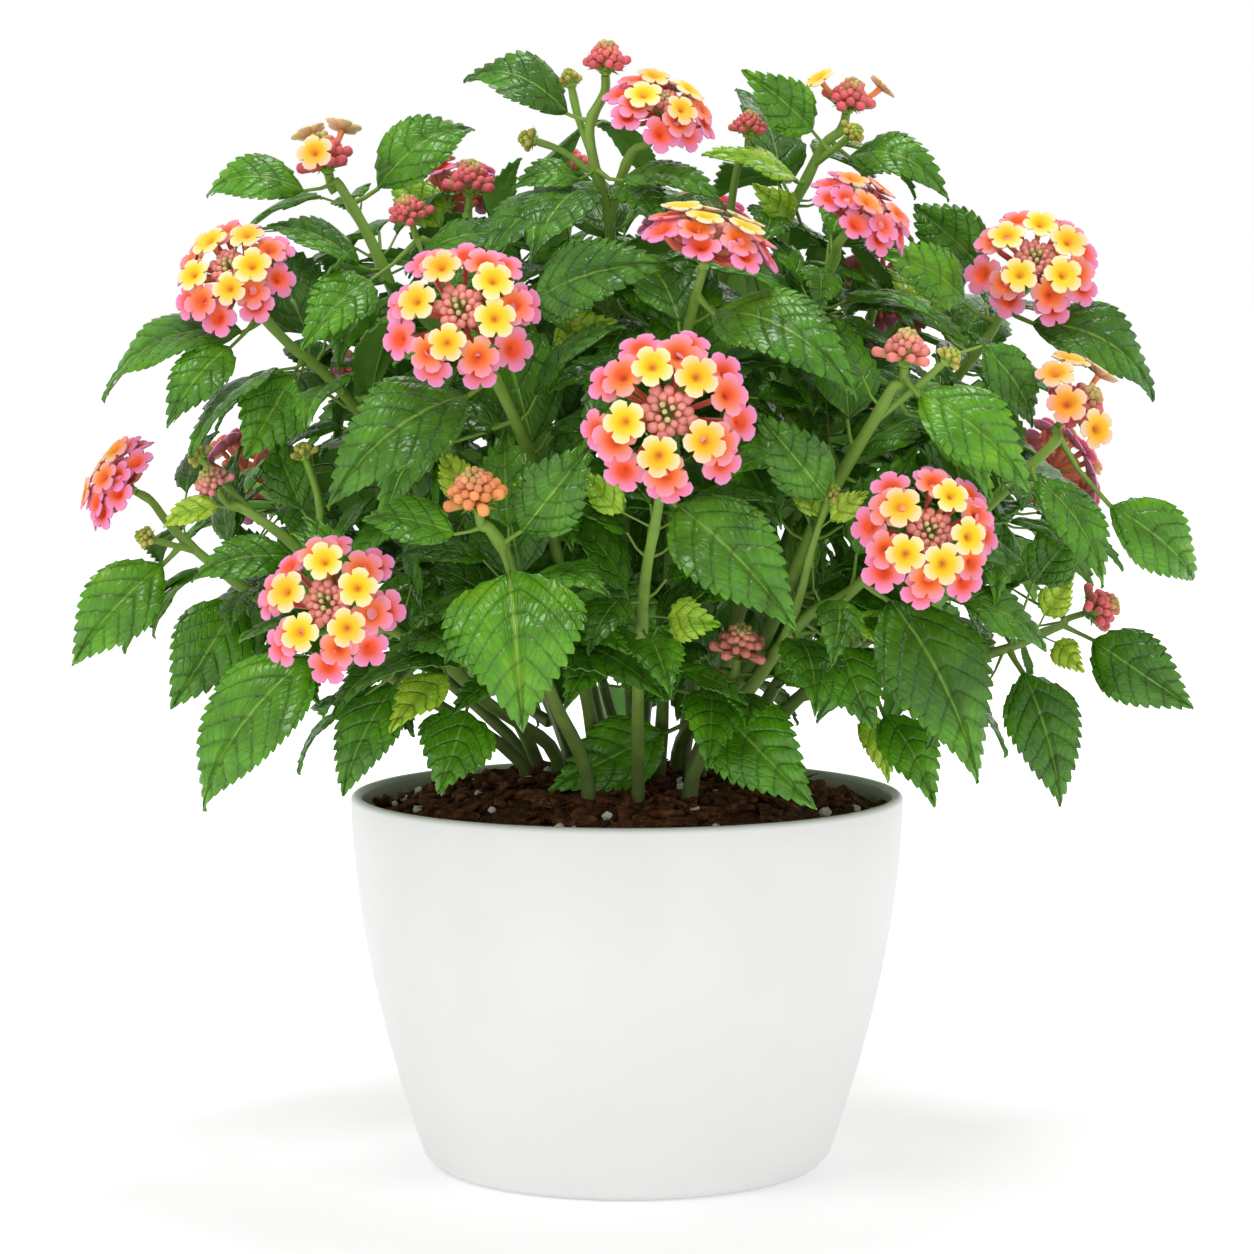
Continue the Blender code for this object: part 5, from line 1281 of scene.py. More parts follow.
class Templates:
    """Small shapes that are modelled once and copied."""

    LOBES = 5
    LOBE_OUTLINE = ((0.0, 0.62), (0.11, 0.88), (0.36, 1.0), (0.62, 1.0), (0.88, 0.90))
    PETAL_THICKNESS = 0.05
    INSETS = ((0.45, 0.0), (0.23, -0.06), (0.19, -0.20))
    BACK_POINT = -0.32
    RIM_DROOP = 0.10
    TUBE_RINGS = (0.33, 0.67)
    BUD_LENGTH = 2.6
    BUD_FOOT, BUD_TOP, PILLOW = 0.42, 0.86, 0.8
    SQUARE = (0.90, 1.06)

    def __init__(self) -> None:
        """Model each shape at its own size about the origin."""
        self.sheets: dict[tuple[int, int], bpy.types.Object] = {}
        self.floret = self.model_floret()
        self.tube = self.model_tube()
        self.bud = self.model_bud()
        self.bract = self.model_bract()
        self.square = self.model_square()

    def sheet(self, stations: int, cells: int) -> bpy.types.Object:
        """Return a flat sheet of a leaf's faces, from -1 to 1 both ways."""
        if (stations, cells) not in self.sheets:
            deselect()
            bpy.ops.mesh.primitive_grid_add(x_subdivisions=stations, y_subdivisions=cells,
                                            size=2.0)
            self.sheets[stations, cells] = bpy.context.active_object
        return self.sheets[stations, cells]

    def model_floret(self) -> bpy.types.Object:
        """Return one floret of unit radius, face up, with five lobes and a sunk throat."""
        deselect()
        count = self.LOBES * len(self.LOBE_OUTLINE)
        bpy.ops.mesh.primitive_circle_add(vertices=count, radius=1.0, fill_type="NGON")
        made = bpy.context.active_object
        start_edit(made)
        bpy.ops.mesh.extrude_region_move(
            TRANSFORM_OT_translate={"value": (0, 0, self.PETAL_THICKNESS)})
        bpy.ops.mesh.select_mode(type="FACE")
        for width, drop in self.INSETS:
            bpy.ops.mesh.inset(thickness=width)
            bpy.ops.transform.translate(value=(0, 0, drop))
        bpy.ops.mesh.poke()
        bpy.ops.mesh.select_face_by_sides(number=count, type="EQUAL", extend=False)
        bpy.ops.mesh.poke()
        end_edit()
        rows = coordinates(made)
        rows[-1, 2] = self.BACK_POINT
        reach = np.hypot(rows[:, 0], rows[:, 1])
        turn = np.arctan2(rows[:, 1], rows[:, 0]) % math.tau
        place = np.rint(turn / math.tau * count).astype(int) % count
        part = len(self.LOBE_OUTLINE)
        shares = np.array([share for share, _ in self.LOBE_OUTLINE])[place % part]
        reaches = np.array([reach for _, reach in self.LOBE_OUTLINE])[place % part]
        turned = (place // part + shares) / self.LOBES * math.tau
        rim = reach > 0.9
        new_reach = np.where(rim, reaches, reach)
        rows[:, 0] = np.cos(np.where(rim, turned, turn)) * new_reach
        rows[:, 1] = np.sin(np.where(rim, turned, turn)) * new_reach
        low = rows[:, 2] < 0.01
        rows[:, 2] -= (np.where(rim, self.RIM_DROOP * (reaches - 0.5), 0.0)
                       + np.where(low, 0.02, 0.0))
        move_to(made, rows)
        return made

    def model_tube(self) -> bpy.types.Object:
        """Return a tube of unit radius and height, with rings to bend it by."""
        deselect()
        bpy.ops.mesh.primitive_cylinder_add(vertices=6, radius=1.0, depth=1.0,
                                            location=(0, 0, 0.5))
        made = bpy.context.active_object
        bpy.ops.object.transform_apply(location=True)
        for height in self.TUBE_RINGS:
            start_edit(made)
            bpy.ops.mesh.bisect(plane_co=(0, 0, height), plane_no=(0, 0, 1))
            end_edit()
        return made

    def model_bud(self) -> bpy.types.Object:
        """Return a closed bud: a club with a square pillow top at the origin."""
        deselect()
        bpy.ops.mesh.primitive_cube_add(size=2.0)
        made = bpy.context.active_object
        start_edit(made)
        bpy.ops.mesh.subdivide(number_cuts=1, smoothness=0.9)
        end_edit()
        rows = coordinates(made)
        low = rows[:, 2] < -0.1
        rows[:, :2] *= np.where(low, self.BUD_FOOT, self.BUD_TOP)[:, None]
        rows[:, 2] *= np.where(low, self.BUD_LENGTH, self.PILLOW)
        move_to(made, rows)
        return made

    def model_bract(self) -> bpy.types.Object:
        """Return a thin pointed leaflet along X."""
        deselect()
        bpy.ops.mesh.primitive_cone_add(vertices=4, radius1=0.24, radius2=0.02, depth=1.0,
                                        location=(0, 0, 0.5))
        made = bpy.context.active_object
        bpy.ops.object.transform_apply(location=True)
        rows = coordinates(made)
        made_rows = np.stack([rows[:, 2], rows[:, 1], rows[:, 0] * 0.3
                              + rows[:, 2] * (1.0 - rows[:, 2]) * 0.5], axis=1)
        move_to(made, made_rows)
        turn_outward(made)
        return made

    def model_square(self) -> bpy.types.Object:
        """Return the rounded square section of a stem, as a closed curve of unit radius."""
        curve = bpy.data.curves.new("stem_section", "CURVE")
        spline = curve.splines.new("POLY")
        spline.points.add(7)
        for step in range(8):
            turn = math.tau * step / 8
            reach = self.SQUARE[step % 2]
            spline.points[step].co = (math.cos(turn) * reach, math.sin(turn) * reach, 0, 1)
        spline.use_cyclic_u = True
        return new_object("stem_section", curve)

    def remove(self) -> None:
        """Remove the shapes that were copied from."""
        for made in (*self.sheets.values(), self.floret, self.tube, self.bud, self.bract,
                     self.square):
            bpy.data.objects.remove(made, do_unlink=True)


@dataclass
class Sweeper:
    """Makes stems, stalks and midribs by leading a rounded square along a line."""

    templates: Templates

    def sweep(self, points: Sequence[Vector], radii: Sequence[float],
              finish: bpy.types.Material) -> bpy.types.Object:
        """Model a stem.

        Args:
            points: The line's points.
            radii: The stem's radius at each point.
            finish: Its material.

        Returns:
            The stem as a closed mesh.
        """
        curve = bpy.data.curves.new("stem", "CURVE")
        curve.dimensions = "3D"
        curve.bevel_mode = "OBJECT"
        curve.bevel_object = self.templates.square
        curve.use_fill_caps = True
        spline = curve.splines.new("POLY")
        spline.points.add(len(points) - 1)
        for spot, point, radius in zip(spline.points, points, radii):
            spot.co = (*point, 1.0)
            spot.radius = radius
        pick(new_object("stem", curve))
        bpy.ops.object.convert(target="MESH")
        made = bpy.context.view_layer.objects.active
        made.data.materials.append(finish)
        return made


@dataclass
class LeafMaker:
    """Models a toothed, quilted blade with its stalk and midrib."""

    templates: Templates
    palette: Palette
    sweeper: Sweeper
    tooth_spacing: float = 2.7 * MM
    tooth_depth: float = 0.075
    least_tooth: float = 0.4 * MM
    notch_reach: float = 0.955
    end_fade: float = 0.08
    vein_spacing: float = 6.8 * MM
    least_spacing: float = 3.2 * MM
    drawn_length: float = 45.0 * MM
    vein_slant: float = 0.70
    vein_bend: float = 0.045 / MM
    rib_slant: float = 0.60
    rib_spacing: float = 1.9 * MM
    quilt: float = 0.13
    groove: float = 0.35 * MM
    groove_width: float = 0.9 * MM
    edge_curl: float = 0.10
    tip_curl: float = 0.05
    waviness: float = 0.035
    thickness: float = 0.45 * MM
    midrib_places: tuple = (0.0, 0.12, 0.3, 0.5, 0.72, 0.93)

    def sheet_for(self, blade: Blade) -> tuple[bpy.types.Object, int, int]:
        """Choose the sheet that suits a blade's size.

        Args:
            blade: The leaf in place.

        Returns:
            A copy of the sheet, its count of faces along the leaf, and how many make a tooth.
        """
        fewest, most, cells, per = ((9, 9, 6, 2) if blade.inner
                                    else (12, 17, 12, 3) if blade.length > LARGE_LEAF
                                    else (8, 13, 8, 3))
        teeth = max(fewest, min(most, round(blade.length / self.tooth_spacing)))
        stations = (teeth + 1) * per
        return copy_of(self.templates.sheet(stations, cells), "blade"), stations, per

    def blade(self, blade: Blade, rng: random.Random) -> bpy.types.Object:
        """Model the blade.

        Args:
            blade: The leaf in place.
            rng: The source of its small differences.

        Returns:
            The open sheet of its upper side.
        """
        made, stations, per = self.sheet_for(blade)
        rows = coordinates(made)
        share = (rows[:, 0] + 1.0) / 2.0
        part = -rows[:, 1]
        edge = np.abs(part)
        # Outline: an oval with forward teeth that fade out at both ends
        profile = np.array([0.0, 1.0] if per == 2 else [0.0, 0.80, 1.0])
        tooth = profile[np.rint(share * stations).astype(int) % per]
        full = (np.sin(math.pi * share ** LEAF_WIDEST) * (1.0 - LEAF_TAPER * share ** 2))
        half = blade.width / 2 * LEAF_FULLNESS * np.clip(full, 0.0, None)
        fade = np.clip(share / self.end_fade, 0.0, 1.0) * np.clip(
            (1.0 - share) / self.end_fade, 0.0, 1.0)
        tooth_size = self.tooth_depth + self.least_tooth / max(blade.width, 1.0 * MM)
        side = part * half * (self.notch_reach + tooth_size * tooth * fade)
        forward = edge ** 3 * (tooth - 0.3) * 0.5 * self.tooth_spacing * fade
        # Quilting: a pillow between each two side veins, and a groove along the midrib
        size = blade.length / self.drawn_length
        spacing = max(self.vein_spacing * size ** 0.6, self.least_spacing)
        phase = (share * blade.length - np.abs(side) * self.vein_slant
                 - side ** 2 * self.vein_bend) / spacing
        phase = phase + np.where(part < 0, 0.35 + rng.uniform(-0.2, 0.2), 0.0)
        swell = np.abs(np.sin(math.pi * phase)) ** 0.8
        lift = self.quilt * spacing * swell * (1.0 - edge ** 4) * np.clip(edge / 0.12, 0.25, 1.0)
        lift -= self.groove * np.exp(-(side / self.groove_width) ** 2)
        # Bearing: arched, folded, curled at the edge and tip, and a little wavy
        curl = -self.edge_curl * half * edge ** 3 - self.tip_curl * blade.length * share ** 4
        wave = self.waviness * blade.width * edge ** 2 * np.sin(
            share * rng.uniform(9.0, 14.0) + part * 1.5 + rng.uniform(0.0, 6.0))
        bend = rng.uniform(-0.05, 0.05) * blade.length * share ** 2
        rise = (blade.arch * 4.0 * share * (1.0 - share) + np.abs(side) * LEAF_FOLD
                + lift + curl + wave)
        ways = np.array((blade.along, blade.along.cross(blade.up), blade.up))
        move_to(made, np.array(blade.base) + np.stack(
            [share * blade.length + forward, side + bend, rise], axis=1) @ ways)
        ribs = (np.abs(side) + share * blade.length * self.rib_slant) / self.rib_spacing
        self.mark(made, blade, np.stack([phase, part], axis=1), ribs * np.sign(side), rng)
        return made

    def mark(self, made: bpy.types.Object, blade: Blade, place: np.ndarray, ribs: np.ndarray,
             rng: random.Random) -> None:
        """Keep what the finish needs in a sheet's attribute leaf and its UVs.

        Args:
            made: The sheet.
            blade: The leaf in place.
            place: Each point's vein phase and place across.
            ribs: Each point's count of cross ribs.
            rng: The source of the random part of the leaf's tone.
        """
        mesh = made.data
        # Painted shade: leaves deep in the bush sit 0.12 darker along the greens than the rest;
        # young leaves sit lighter
        age_and_inner_shade = 0.18 + 0.85 * blade.youth + rng.uniform(-0.12, 0.16) - (0.12 if blade.inner else 0)
        held = mesh.attributes.new("leaf", "FLOAT_VECTOR", "POINT")
        held.data.foreach_set("vector", np.insert(place, 2, age_and_inner_shade, axis=1).ravel())
        for old in list(mesh.uv_layers):
            mesh.uv_layers.remove(old)
        corner = np.empty(len(mesh.loops), dtype=np.int32)
        mesh.loops.foreach_get("vertex_index", corner)
        flat = np.stack([place[:, 0] + 0.70 + rng.randrange(90), ribs], axis=1)
        mesh.uv_layers.new(name="plan").data.foreach_set("uv", flat[corner].ravel())

    def stalk(self, blade: Blade, lines: Sequence[Sequence[Vector]]) -> bpy.types.Object:
        """Return the leaf's stalk, carried on under the blade as its midrib."""
        root = closest_on(lines, blade.root)
        size = min(1.0, blade.length / (36.0 * MM)) * (0.7 if blade.inner else 1.0)
        bow = (blade.base - root).length * 0.12
        points = [root, root.lerp(blade.base, 0.5) + blade.up * -bow]
        radii = [0.95 * MM * size + 0.1 * MM, 0.72 * MM * size]
        for share in self.midrib_places:
            low = 0.62 * MM * size + 0.18 * MM + self.tip_curl * blade.length * share ** 4
            points.append(blade.point(share, 0.0) - blade.up * low)
            radii.append((0.66 - 0.50 * share) * MM * size)
        return self.sweeper.sweep(points, radii, self.palette.stem)

    def foliage(self, blades: Sequence[Blade], lines: Sequence[Sequence[Vector]],
                rng: random.Random) -> list[bpy.types.Object]:
        """Model all the leaves of a stem.

        Args:
            blades: The leaves in place.
            lines: The smooth lines of the stem's shoots.
            rng: The source of small differences.

        Returns:
            The closed blades as one object, then the stalks.
        """
        made = joined([self.blade(blade, rng) for blade in blades], "blades")
        made.data.materials.append(self.palette.leaf)
        made.data.materials.append(self.palette.underside)
        start_edit(made)
        bpy.ops.mesh.remove_doubles(threshold=0.004 * MM)
        end_edit()
        wall = made.modifiers.new("thickness", "SOLIDIFY")
        wall.thickness = self.thickness
        wall.offset = -1.0
        wall.material_offset = 1
        wall.use_even_offset = False
        apply_all(made)
        smooth(made, 60.0)
        return [made] + [self.stalk(blade, lines) for blade in blades]


@dataclass(frozen=True)
class FloretRing:
    """One ring of florets, in shares of the head's drawn radius and of its height."""

    count: int
    lateral: float
    height: float
    tilt: float
    radius: float
    ripe: float
    foot: float


class HeadMaker:
    """Models flower heads and bud heads from copied florets, tubes and buds."""

    # Open heads, in the drawn head's millimetres
    RINGS = (FloretRing(5, 0.64, 17.4, 14.0, 5.6, 0.03, 9.5),
             FloretRing(6, 0.84, 13.4, 25.0, 5.7, 0.58, 7.0),
             FloretRing(9, 1.00, 9.4, 38.0, 5.8, 0.97, 4.5))
    CONE_HEIGHT = 10.5
    CONE_RADII = (1.9, 1.3)
    DISC_HEIGHT = 15.6
    DISC_SHARE = 0.285
    DISC_BUDS = 26
    # Heads that have just begun to open, in shares of their radius
    SIDES = 7
    DOME = 0.62
    FIRST_FLORET = 0.40
    FIRST_TILT = 42.0
    # Closed heads
    BUDS, FEW_BUDS = 44, 26
    LEAN = math.radians(82.0)
    # Tubes and bracts
    TUBE_FOOT, TUBE_TOP = 0.55 * MM, 0.92 * MM
    TUBE_SINK = 0.29
    TUBE_BEND = 0.45
    BRACT = 4.2 * MM
    YOUNG = ((0.0, "#c06c14"), (0.13, "#f2a20c"), (0.32, "#ffd000"), (0.55, "#ffdc34"),
             (0.80, "#fdeb9c"), (1.0, "#fdf0c8"))
    TURNING = ((0.0, "#8a3010"), (0.13, "#e0541a"), (0.32, "#fc6c18"), (0.55, "#fb8638"),
               (0.80, "#f8a07c"), (1.0, "#f4a4b4"))
    RIPE = ((0.0, "#b8431a"), (0.13, "#f4521a"), (0.32, "#fa5c22"), (0.55, "#f4788a"),
            (0.80, "#ee86c0"), (1.0, "#f29ad2"))
    TUBE_TONES = (("#e9a04c", "#ee8f5a"), ("#d8604e", "#ef7f6e"))
    DISC_TONES = ("#d6cf8c", "#ffae9c", "#fb9a96")
    BUD_FOOT = "#93a33e"
    BUD_TONES = {
        Hue.CRIMSON: ("#bfc068", "#ee8c7c", "#ea5e72"),
        Hue.CORAL: ("#c8c870", "#f7ac96", "#f98a86"),
        Hue.ORANGE: ("#d2b868", "#f79a80", "#f9a25c"),
        Hue.GREEN: ("#a8c858", "#dcb878", "#ec8a98"),
        None: ("#8fb43c", "#a9bf48", "#c8b860"),
    }

    def __init__(self, templates: Templates, palette: Palette) -> None:
        """Keep the shapes to copy and the finishes."""
        self.templates = templates
        self.palette = palette

    def petal_colours(self, reach: np.ndarray, ripe: np.ndarray) -> np.ndarray:
        """Colour a floret.

        Args:
            reach: Each point's distance from the throat, from 0 to 1.
            ripe: Each point's ripeness, from 0, yellow, to 1, pink.

        Returns:
            The linear colour of each point.
        """
        ages = []
        for ramp in (self.YOUNG, self.TURNING, self.RIPE):
            tones = tones_of([tone for _, tone in ramp])
            ages.append(np.stack([np.interp(reach, [place for place, _ in ramp], tones[:, part])
                                  for part in range(3)], axis=1))
        early = np.clip(ripe * 2.0, 0.0, 1.0)[:, None]
        late = np.clip(ripe * 2.0 - 1.0, 0.0, 1.0)[:, None]
        return np.where(ripe[:, None] < 0.5, blend(ages[0], ages[1], early),
                        blend(ages[1], ages[2], late))

    def floret(self, middle: Vector, normal: Vector, out: Vector, radius: float, ripe: float,
               rng: random.Random) -> bpy.types.Object:
        """Place one floret.

        Args:
            middle: The middle of its face.
            normal: The way it faces.
            out: The way out from the head's axis.
            radius: Its radius.
            ripe: Its ripeness, from 0, yellow, to 1, pink.
            rng: The source of small differences.

        Returns:
            The floret.
        """
        made = copy_of(self.templates.floret, "floret", self.palette.petal)
        rows = coordinates(made)
        reach = np.hypot(rows[:, 0], rows[:, 1])
        angle = np.arctan2(rows[:, 1], rows[:, 0])
        turn = rng.uniform(0.0, math.tau)
        cup = rng.uniform(-0.05, 0.10)
        lean = rng.uniform(-0.10, 0.10)
        ruffle = rng.uniform(0.02, 0.06)
        rows[:, 2] += (cup * reach ** 2 + lean * rows[:, 0] * reach
                       + ruffle * reach ** 3 * np.sin(angle * 2.0 + turn * 3.0))
        rows = rows @ np.array(Matrix.Rotation(turn, 3, "Z")).T
        held = np.clip(ripe + 0.30 * rows[:, 0] * (0.10 + ripe), 0.0, 1.0)
        paint(made, "bloom", self.petal_colours(np.clip(reach, 0.0, 1.0), held))
        stand(made, rows * radius, frame_at(middle, normal, out))
        return made

    def tube(self, foot: Vector, bend: Vector, top: Vector, ripe: float) -> bpy.types.Object:
        """Return a floret's tube from its foot, by a bend, to the throat."""
        made = copy_of(self.templates.tube, "tube", self.palette.tube)
        rows = coordinates(made)
        points = np.empty_like(rows)
        for height in np.unique(np.round(rows[:, 2], 4)):
            part = np.abs(rows[:, 2] - height) < 1e-3
            middle = (foot * (1 - height) ** 2 + bend * 2 * height * (1 - height)
                      + top * height ** 2)
            way = ((bend - foot) * (1 - height) + (top - bend) * height).normalized()
            radius = blend(self.TUBE_FOOT, self.TUBE_TOP, height)
            # The section's two directions keep the tube's own handedness about its way
            side = across_frame(way)[0]
            points[part] = (np.array(middle) + np.outer(rows[part, 0] * radius, side)
                            + np.outer(rows[part, 1] * radius, way.cross(side)))
        move_to(made, points)
        low, high = tones_of(self.TUBE_TONES[ripe >= 0.25])
        paint(made, "bloom", blend(low, high, rows[:, 2][:, None]))
        return made

    def on_tube(self, foot: Vector, middle: Vector, normal: Vector, out: Vector,
                sizes: tuple[float, float], ripe: float,
                rng: random.Random) -> list[bpy.types.Object]:
        """Place a floret with its tube.

        Args:
            foot: Where the tube starts.
            middle: The middle of the floret's face.
            normal: The way it faces.
            out: The way out from the head's axis.
            sizes: Its own radius, and the drawn one that its throat is as deep as.
            ripe: Its ripeness, from 0, yellow, to 1, pink.
            rng: The source of small differences.

        Returns:
            The floret and the tube.
        """
        top = middle - normal * sizes[1] * self.TUBE_SINK
        bend = top - normal * (top - foot).length * self.TUBE_BEND
        return [self.floret(middle, normal, out, sizes[0], ripe, rng),
                self.tube(foot, bend, top, ripe)]

    def bud(self, top: Vector, way: Vector, radius: float, length: float,
            tone: np.ndarray) -> bpy.types.Object:
        """Return a closed bud whose pillow top is at a point and whose body runs back."""
        made = copy_of(self.templates.bud, "bud", self.palette.bud)
        rows = coordinates(made)
        full = Templates.BUD_LENGTH
        high = np.clip((rows[:, 2] + full - 0.2) / full, 0.0, 1.0)[:, None] ** 1.4
        rows[:, :2] *= radius
        rows[:, 2] *= np.where(rows[:, 2] > 0, radius, length / full)
        stand(made, rows, frame_at(top, way))
        paint(made, "bloom", blend(np.array(linear(self.BUD_FOOT)), tone, high))
        return made

    def cluster(self, seat: Vector, axis: Vector, radius: float, count: int,
                hue: Optional[Hue], rng: random.Random) -> list[bpy.types.Object]:
        """Model a flat dome of closed buds in a spiral, the outer ones longer and leaning out.

        Args:
            seat: Where their feet meet.
            axis: The way the cluster faces.
            radius: Its radius.
            count: How many buds it has.
            hue: Its colouring, or None for a green young one.
            rng: The source of small differences.

        Returns:
            The buds.
        """
        heart, inner, outer = tones_of(self.BUD_TONES[hue])
        made = []
        for number in range(count):
            share = (number + 0.5) / count
            out = spoke(axis, number * GOLDEN_TURN)
            tilt = self.LEAN * share ** 0.7
            way = (axis * math.cos(tilt) + out * math.sin(tilt)).normalized()
            top = (seat + axis * radius * (1.38 - 0.95 * share ** 1.5 + rng.uniform(-.08, .08))
                   + out * radius * (0.66 * math.sqrt(share) + 0.46 * share ** 4
                                     * rng.uniform(0.5, 1.3)))
            size = radius * (0.060 + 0.085 * share ** 0.8) * (40.0 / count) ** 0.5
            tone = blend(heart, blend(inner, outer, share), min(1.0, share * 2.5))
            made.append(self.bud(top - way * size * 0.6, way, size,
                                 radius * (0.45 + 0.55 * share), tone * rng.uniform(0.82, 1.15)))
        return made

    def disc(self, centre: Vector, axis: Vector, radius: float,
             rng: random.Random) -> list[bpy.types.Object]:
        """Return the closed buds in the middle of an open head, the outer ones the largest."""
        heart, inner, outer = tones_of(self.DISC_TONES)
        made = []
        for number in range(self.DISC_BUDS):
            share = (number + 0.5) / self.DISC_BUDS
            out = spoke(axis, number * GOLDEN_TURN)
            way = (axis + out * 1.5 * share).normalized()
            top = centre + out * radius * math.sqrt(share) - axis * radius * 0.34 * share
            tone = heart if share < 0.16 else blend(inner, outer, share)
            made.append(self.bud(top, way, radius * (0.075 + 0.12 * share),
                                 radius * (0.6 + 0.7 * share), tone * rng.uniform(0.88, 1.12)))
        return made

    def bracts(self, seat: Vector, axis: Vector, length: float, count: int, rise: float,
               rng: random.Random) -> list[bpy.types.Object]:
        """Return a ring of green bracts round the foot of a head."""
        made = []
        for number in range(count):
            out = spoke(axis, math.tau * (number + rng.uniform(-0.2, 0.2)) / count)
            way = (out + axis * rise * rng.uniform(0.7, 1.3)).normalized()
            up = (axis - way * axis.dot(way)).normalized()
            turned = Matrix((way, up.cross(way), up)).transposed().to_4x4()
            piece = copy_of(self.templates.bract, "bract", self.palette.bract)
            piece.data.transform(Matrix.Translation(seat + axis * 0.4 * MM) @ turned
                                 @ Matrix.Scale(length * rng.uniform(0.85, 1.1), 4))
            made.append(piece)
        return made

    def receptacle(self, seat: Vector, axis: Vector, height: float,
                   radii: tuple[float, float]) -> bpy.types.Object:
        """Return the green cone that the tubes stand on."""
        made = copy_of(self.templates.tube, "receptacle", self.palette.bract)
        rows = coordinates(made)
        rows[:, :2] *= blend(*radii, rows[:, 2])[:, None]
        rows[:, 2] *= height
        stand(made, rows, frame_at(seat, axis))
        return made

    def open_head(self, head: Head, spin: float, rng: random.Random) -> list[bpy.types.Object]:
        """Model an open head: rings of florets on tubes round a disc of closed buds."""
        seat, axis, size = head_frame(head)
        unit = MM * size
        radius = head.radius * MM
        made = [self.receptacle(seat, axis, self.CONE_HEIGHT * unit,
                                tuple(part * unit for part in self.CONE_RADII))]
        # Florets shrink less than the head does, so small heads have fewer
        grow = size ** 0.42
        for place, ring in enumerate(self.RINGS):
            petal = ring.radius * MM * grow
            count = max(4, round(ring.count * (0.45 + 0.55 * size / grow)))
            widest = radius - petal * math.cos(math.radians(self.RINGS[-1].tilt)) * 0.95
            for step in range(count):
                turn = spin + math.tau * (step + place * 0.5 + rng.uniform(-0.13, 0.13)) / count
                out = spoke(axis, turn)
                tilt = math.radians(ring.tilt + rng.uniform(-7.0, 7.0))
                lateral = ring.lateral * widest * rng.uniform(0.95, 1.03)
                height = (ring.height + rng.uniform(-0.4, 0.4)) * unit
                ripe = min(1.0, max(0.0, ring.ripe + head.hue.value + rng.uniform(-0.10, 0.13)))
                normal = (out * math.sin(tilt) + axis * math.cos(tilt)).normalized()
                made += self.on_tube(seat + axis * ring.foot * unit + out * unit,
                                     seat + axis * height + out * lateral, normal, out,
                                     (petal * rng.uniform(0.93, 1.06), petal), ripe, rng)
        made += self.disc(seat + axis * self.DISC_HEIGHT * unit, axis,
                          self.DISC_SHARE * radius, rng)
        return made + self.bracts(seat, axis, self.BRACT, 8, 0.8, rng)

    def part_head(self, head: Head, spin: float, rng: random.Random) -> list[bpy.types.Object]:
        """Model a head that has just begun to open: a bud dome with a few florets."""
        seat, axis, _ = head_frame(head)
        radius = head.radius * MM
        dome = radius * self.DOME
        petal = radius * self.FIRST_FLORET
        turn = UP.rotation_difference(axis)
        made = [self.receptacle(seat, axis, dome, (1.6 * MM, dome * 0.5))]
        places = sorted(((math.pi / 2 - spin - math.pi / self.SIDES * (2 * step + 1) + math.pi)
                         % math.tau) - math.pi for step in range(self.SIDES))
        for number in head.florets:
            level = Vector((math.cos(places[number]), math.sin(places[number]), 0.0))
            tilt = math.radians(self.FIRST_TILT + rng.uniform(-8.0, 8.0))
            normal = turn @ (level * math.sin(tilt) + UP * math.cos(tilt))
            middle = seat + turn @ (level * radius * 0.86 + UP * dome * 1.15)
            out = turn @ level
            ripe = max(0.0, 0.28 + head.hue.value + rng.uniform(-0.05, 0.2))
            made += self.on_tube(seat + axis * dome * 0.5 + out * dome * 0.4, middle, normal, out,
                                 (petal, petal), ripe, rng)
        made += self.cluster(seat, axis, dome * 0.98, 40, Hue.CRIMSON, rng)
        return made + self.bracts(seat, axis, dome, 8, 0.5, rng)

    def bud_head(self, seat: Vector, axis: Vector, radius: float, hue: Optional[Hue],
                 rng: random.Random) -> list[bpy.types.Object]:
        """Model a closed head: a dome of buds over a ring of bracts."""
        count = self.BUDS if radius > 4.5 * MM else self.FEW_BUDS
        made = [self.receptacle(seat, axis, radius * 0.85, (1.4 * MM, radius * 0.45))]
        made += self.cluster(seat, axis, radius * 0.98, count, hue, rng)
        return made + self.bracts(seat, axis, radius * 1.1, 9, 0.6, rng)

    def build(self, name: str, head: Head, spin: float) -> bpy.types.Object:
        """Build one head as a piece.

        Args:
            name: Its node's name.
            head: Its place and kind.
            spin: Its turn about its own axis.

        Returns:
            The joined head.
        """
        rng = random.Random(name)
        if head.kind is Kind.OPEN:
            parts = self.open_head(head, spin, rng)
        elif head.kind is Kind.PART:
            parts = self.part_head(head, spin, rng)
        else:
            seat, axis, _ = head_frame(head)
            parts = self.bud_head(seat, axis, head.radius * MM, head.hue, rng)
        made = joined(parts, name + "_dressed")
        smooth(made, 55.0)
        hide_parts(name)
        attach(made, "root")
        return made


